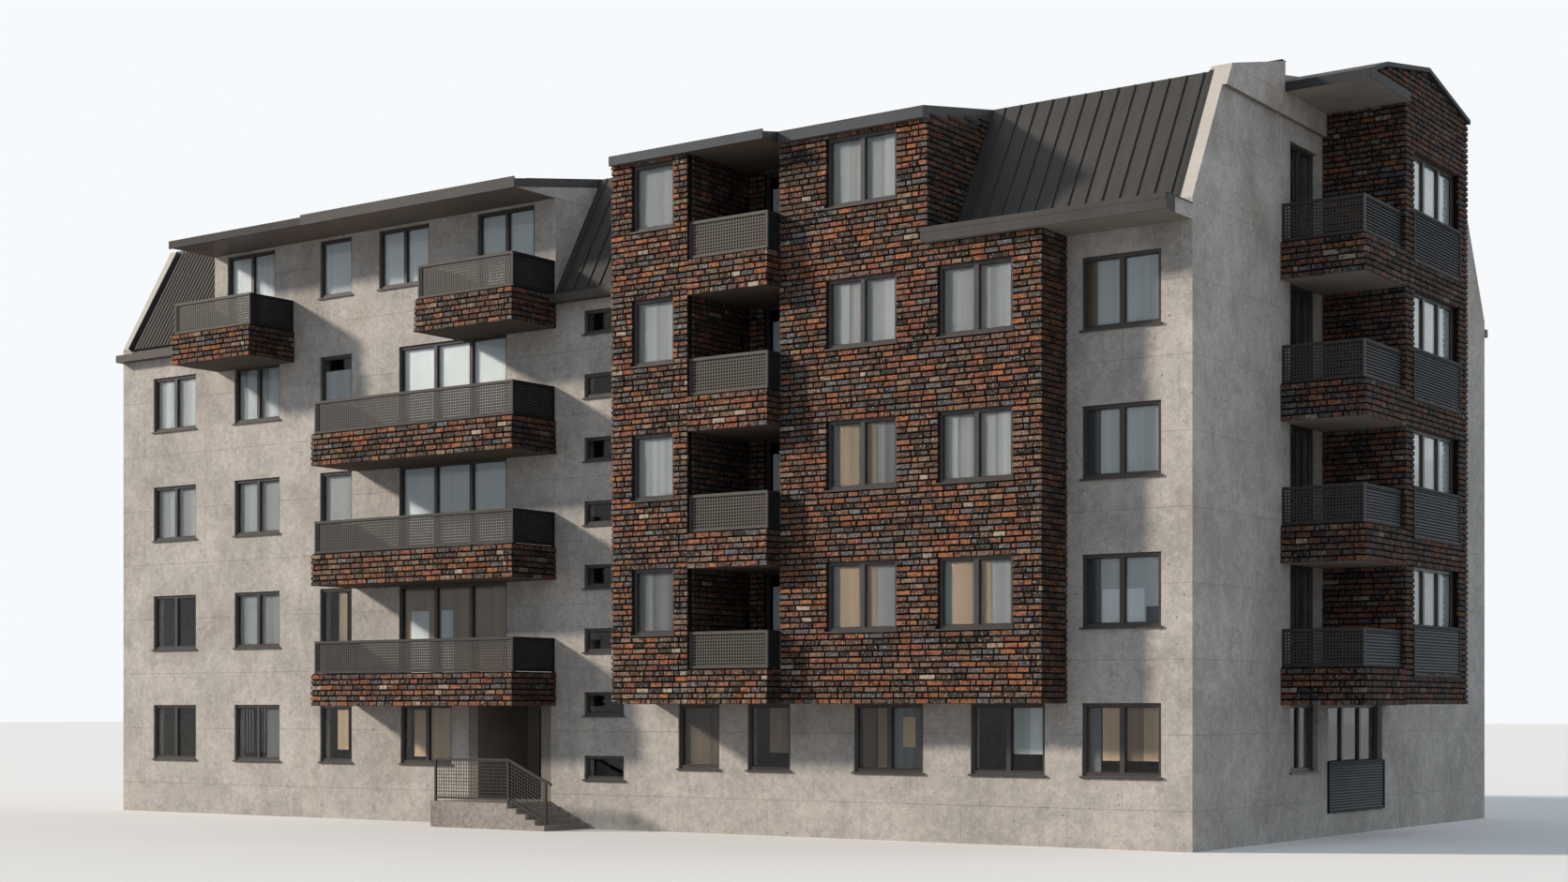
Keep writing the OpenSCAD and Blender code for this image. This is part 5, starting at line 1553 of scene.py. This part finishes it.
class BLOCK_OT_windows(BlockOperator, bpy.types.Operator):
    """Hang the sashes in their frames and the blinds behind the glass"""

    bl_idname = "block.windows"
    bl_label = "Sashes and blinds"

    FRAME_W, MULLION_W = 0.07, 0.10

    def execute(self, context):
        settings = context.scene.block_windows
        made = finishes(context.scene)
        found = windows()
        groups = {"street_sashes": ("front",), "gable_sashes": ("left", "right"), "rear_sashes": ("rear",)}
        for name, sides in groups.items():
            parts = [part for w in found if w.side in sides for part in self.sashes(w, settings)]
            piece(name, joined(name, parts, made["frame"]), "window_frame")
        tree = bar_tree("Blinds", made["blind"])
        rng = random.Random(settings.seed)
        groups = {"street_blinds": ("front",), "gable_blinds": ("left", "right"), "rear_blinds": ("rear",)}
        for name, sides in groups.items():
            rows = [row for w in found if w.side in sides for row in self.blinds(w, settings, rng)]
            piece(name, bars(name, rows, tree), "floor_slab")
        return {"FINISHED"}

    def sashes(self, w, settings):
        """Rings of a chamfered profile, one for each pane."""
        pane = (w.width - 2 * self.FRAME_W - (w.panes - 1) * self.MULLION_W) / w.panes
        height = w.height - 2 * self.FRAME_W
        width, depth = settings.sash_width, settings.sash_depth
        if w.small:
            width *= 0.7
        edge = 0.006
        profile = [(0.0, 0.0), (0.0, depth - edge), (edge, depth), (width - edge, depth),
                   (width, depth - 0.02), (width, 0.0)]
        parts = []
        for i in range(w.panes):
            start = w.u0 + self.FRAME_W + i * (pane + self.MULLION_W)
            vertices, faces = [], []
            for inset, out in profile:
                right, top = pane - inset, height - inset
                for x, z in ((inset, inset), (right, inset), (right, top), (inset, top)):
                    vertices.append((x, -out, z))
            for ring in range(len(profile) - 1):
                for corner in range(4):
                    a, b = ring * 4 + corner, ring * 4 + (corner + 1) % 4
                    faces.append((a, b, b + 4, a + 4))
            mesh = bpy.data.meshes.new("sash")
            mesh.from_pydata(vertices, [], faces)
            left = start if w.side in ("front", "right") else start + pane
            parts.append((mesh, w.matrix(left, w.z0 + self.FRAME_W, 0.0)))
        return parts

    # Blinds of the street windows, for (distance from the left in metres, storey). Tones just below a whole
    # number are nearly black slats, painted shade of dark rooms; light tones on windows in shade carry a
    # painted reflection of the sky.
    STREET = {
        (4, 4): (whole(0.10),), (8, 4): (whole(0.12),), (10, 4): (whole(0.01),),
        (13, 4): (whole(0.01),), (19, 4): (whole(0.72),),
        (24, 4): (whole(0.71), (0.80, 0.96, 0.64, 1)),
        (1, 3): (whole(0.60), (0.22, 0.40, 0.42, 1), (0.78, 0.96, 0.42, 1)),
        (4, 3): (whole(0.69), (0.22, 0.45, 0.46, 1), (0.70, 0.96, 0.42, 1)),
        (8, 3): (whole(0.55, 0.0, 0.76),),
        (10, 3): (whole(0.01),), (19, 3): (whole(0.72),),
        (24, 3): (whole(0.76), (0.10, 0.28, 0.69, 1), (0.80, 0.96, 0.68, 1)),
        (26, 3): (whole(0.77), (0.78, 0.96, 0.68, 1)),
        (29, 3): (whole(0.29), (0.0, 0.16, 1.75, 1), (0.76, 0.98, 0.38, 1)),
        (1, 2): (whole(0.75), (0.30, 0.42, 0.66, 1), (0.80, 1.0, 0.66, 1)),
        (4, 2): (whole(0.76), (0.26, 0.42, 0.69, 1), (0.76, 0.96, 0.68, 1)), (8, 2): (whole(0.69),),
        (10, 2): (whole(0.01),), (19, 2): (whole(0.68),),
        (24, 2): (whole(0.89), (0.13, 0.42, 1.65, 1), (0.56, 0.68, 1.70, 1)),
        (26, 2): (whole(0.76), (0.08, 0.22, 0.68, 1), (0.78, 0.96, 0.68, 1)),
        (29, 2): (whole(0.29), (0.0, 0.20, 0.98, 1), (0.76, 0.98, 0.38, 1)),
        (4, 1): (whole(0.80), (0.26, 0.42, 0.75, 1)),
        (8, 1): ((0.50, 0.76, 1.62, 1),),
        (10, 1): (whole(1.46), (0.08, 0.25, 0.10, 1, 0.0, 0.72), (0.37, 0.48, 0.10, 1, 0.0, 0.72)),
        (19, 1): (whole(0.91),),
        (24, 1): (whole(0.82), (0.13, 0.42, 1.52, 1), (0.56, 0.68, 1.60, 1)),
        (26, 1): (whole(0.77), (0.13, 0.42, 1.48, 1), (0.56, 0.68, 1.56, 1)),
        (29, 1): (whole(0.42), (0.0, 0.20, 0.99, 1), (0.22, 0.47, 0.01, 1, 0.0, 0.52),
                  (0.54, 0.77, 0.01, 1, 0.0, 0.52), (0.79, 0.98, 0.98, 1, 0.0, 0.26)),
        (4, 0): ((0.66, 0.96, 0.92, 1),), (8, 0): ((0.45, 0.80, 1.35, 1, 0.2, 0.94),),
        (10, 0): ((0.20, 0.46, 1.05, 1, 0.1, 0.92), (0.54, 0.95, 1.10, 1)),
        **dict.fromkeys([(21, 1), (21, 2), (21, 3), (21, 4)], ((0.09, 0.45, 0.02, 1, 0.0, 0.86),)),
        (19, 0): (whole(1.90),), (21, 0): ((0.45, 0.95, 1.60, 1, 0.25, 1.0),),
        (24, 0): ((0.08, 0.28, 1.85, 1), (0.30, 0.45, 1.60, 1), (0.54, 0.96, 0.86, 0),
                  (0.68, 0.86, 1.02, 1, 0.36, 0.82)),
        (27, 0): ((0.55, 0.78, 0.45, 1, 0.28, 1.0), (0.78, 0.97, 0.05, 1, 0.28, 1.0)),
        (29, 0): ((0.06, 0.20, 0.93, 1), (0.22, 0.47, 1.12, 1, 0.2, 1.0), (0.54, 0.76, 1.70, 1, 0.2, 1.0),
                  (0.76, 0.95, 1.30, 1, 0.2, 1.0)),
    }

    def choice(self, w, rng):
        """The blinds of a window, as in the table above."""
        storey = int((w.z0 - GROUND_FLOOR) / STOREY + 0.01)
        if w.small or (w.side == "right" and storey == 0):
            return ()
        if w.side in ("rear", "left"):
            start = 1.2 if rng.random() < 0.14 else 0.3
            return (whole(start + rng.uniform(0.0, 0.45)),)
        if w.side == "right":
            # The nearly black blinds behind the gable's doors are painted shade of the rooms behind them
            return (whole(rng.uniform(0.15, 0.3) if w.panes == 3 else 0.93),)
        return self.STREET.get((round(w.u0), storey), ())

    def blinds(self, w, settings, rng):
        """Rows of slats that hang behind the glass."""
        # Distance of the blinds from the sides of the hole
        edge = 0.03
        across, tall = w.width - 2 * edge, w.height - 2 * edge
        rows = []
        for a, b, tone, layer, *span in self.choice(w, rng):
            low, high = span or (0.0, 1.0)
            count = max(2, round((b - a) * across / settings.slat))
            width = (b - a) * across / count
            gap = settings.blind_gap + (0.0 if layer else 0.012)
            middle = w.z0 + edge + tall * (low + high) / 2
            size = (0.97 * width, 0.002, tall * (high - low))
            for i in range(count):
                u = w.u0 + edge + a * across + (i + 0.5) * width
                place = w.matrix(u, middle, gap + rng.uniform(0.0, 0.001)).translation
                turn = (0.0, 0.0, OUTWARD[w.side] + settings.turn + rng.uniform(-0.02, 0.02))
                # Slats differ in shade, but never so much that the tone passes to the next whole number
                fold = min(0.06, 0.99 - tone % 1.0)
                shade = max(tone % 1.0 + rng.uniform(-fold, fold), 0.01)
                rows.append(bar(place, size, turn, math.floor(tone) + shade))
        return rows


class BLOCK_PT_panel(bpy.types.Panel):
    """Lists the steps that dress the block"""

    bl_label = "Apartment block"
    bl_idname = "BLOCK_PT_panel"
    bl_space_type = "VIEW_3D"
    bl_region_type = "UI"
    bl_category = "Block"

    def draw(self, context):
        for step in STEPS:
            self.layout.operator(step.bl_idname)
        for key in SETTINGS:
            box = self.layout.box()
            for name in SETTINGS[key].__annotations__:
                box.prop(getattr(context.scene, key), name)


STEPS = (
    BLOCK_OT_camera,
    BLOCK_OT_stage,
    BLOCK_OT_finishes,
    BLOCK_OT_bricks,
    BLOCK_OT_roof,
    BLOCK_OT_gusset,
    BLOCK_OT_railings,
    BLOCK_OT_windows,
)


def register():
    for key, kind in SETTINGS.items():
        bpy.utils.register_class(kind)
        setattr(bpy.types.Scene, key, PointerProperty(type=kind))
    for kind in (*STEPS, BLOCK_PT_panel):
        bpy.utils.register_class(kind)


def unregister():
    for kind in (BLOCK_PT_panel, *reversed(STEPS)):
        bpy.utils.unregister_class(kind)
    for key, kind in SETTINGS.items():
        delattr(bpy.types.Scene, key)
        bpy.utils.unregister_class(kind)


def main():
    """Dresses the block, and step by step."""
    register()
    for step in STEPS:
        area, name = step.bl_idname.split(".")
        getattr(getattr(bpy.ops, area), name)()


if __name__ == "__main__":
    main()
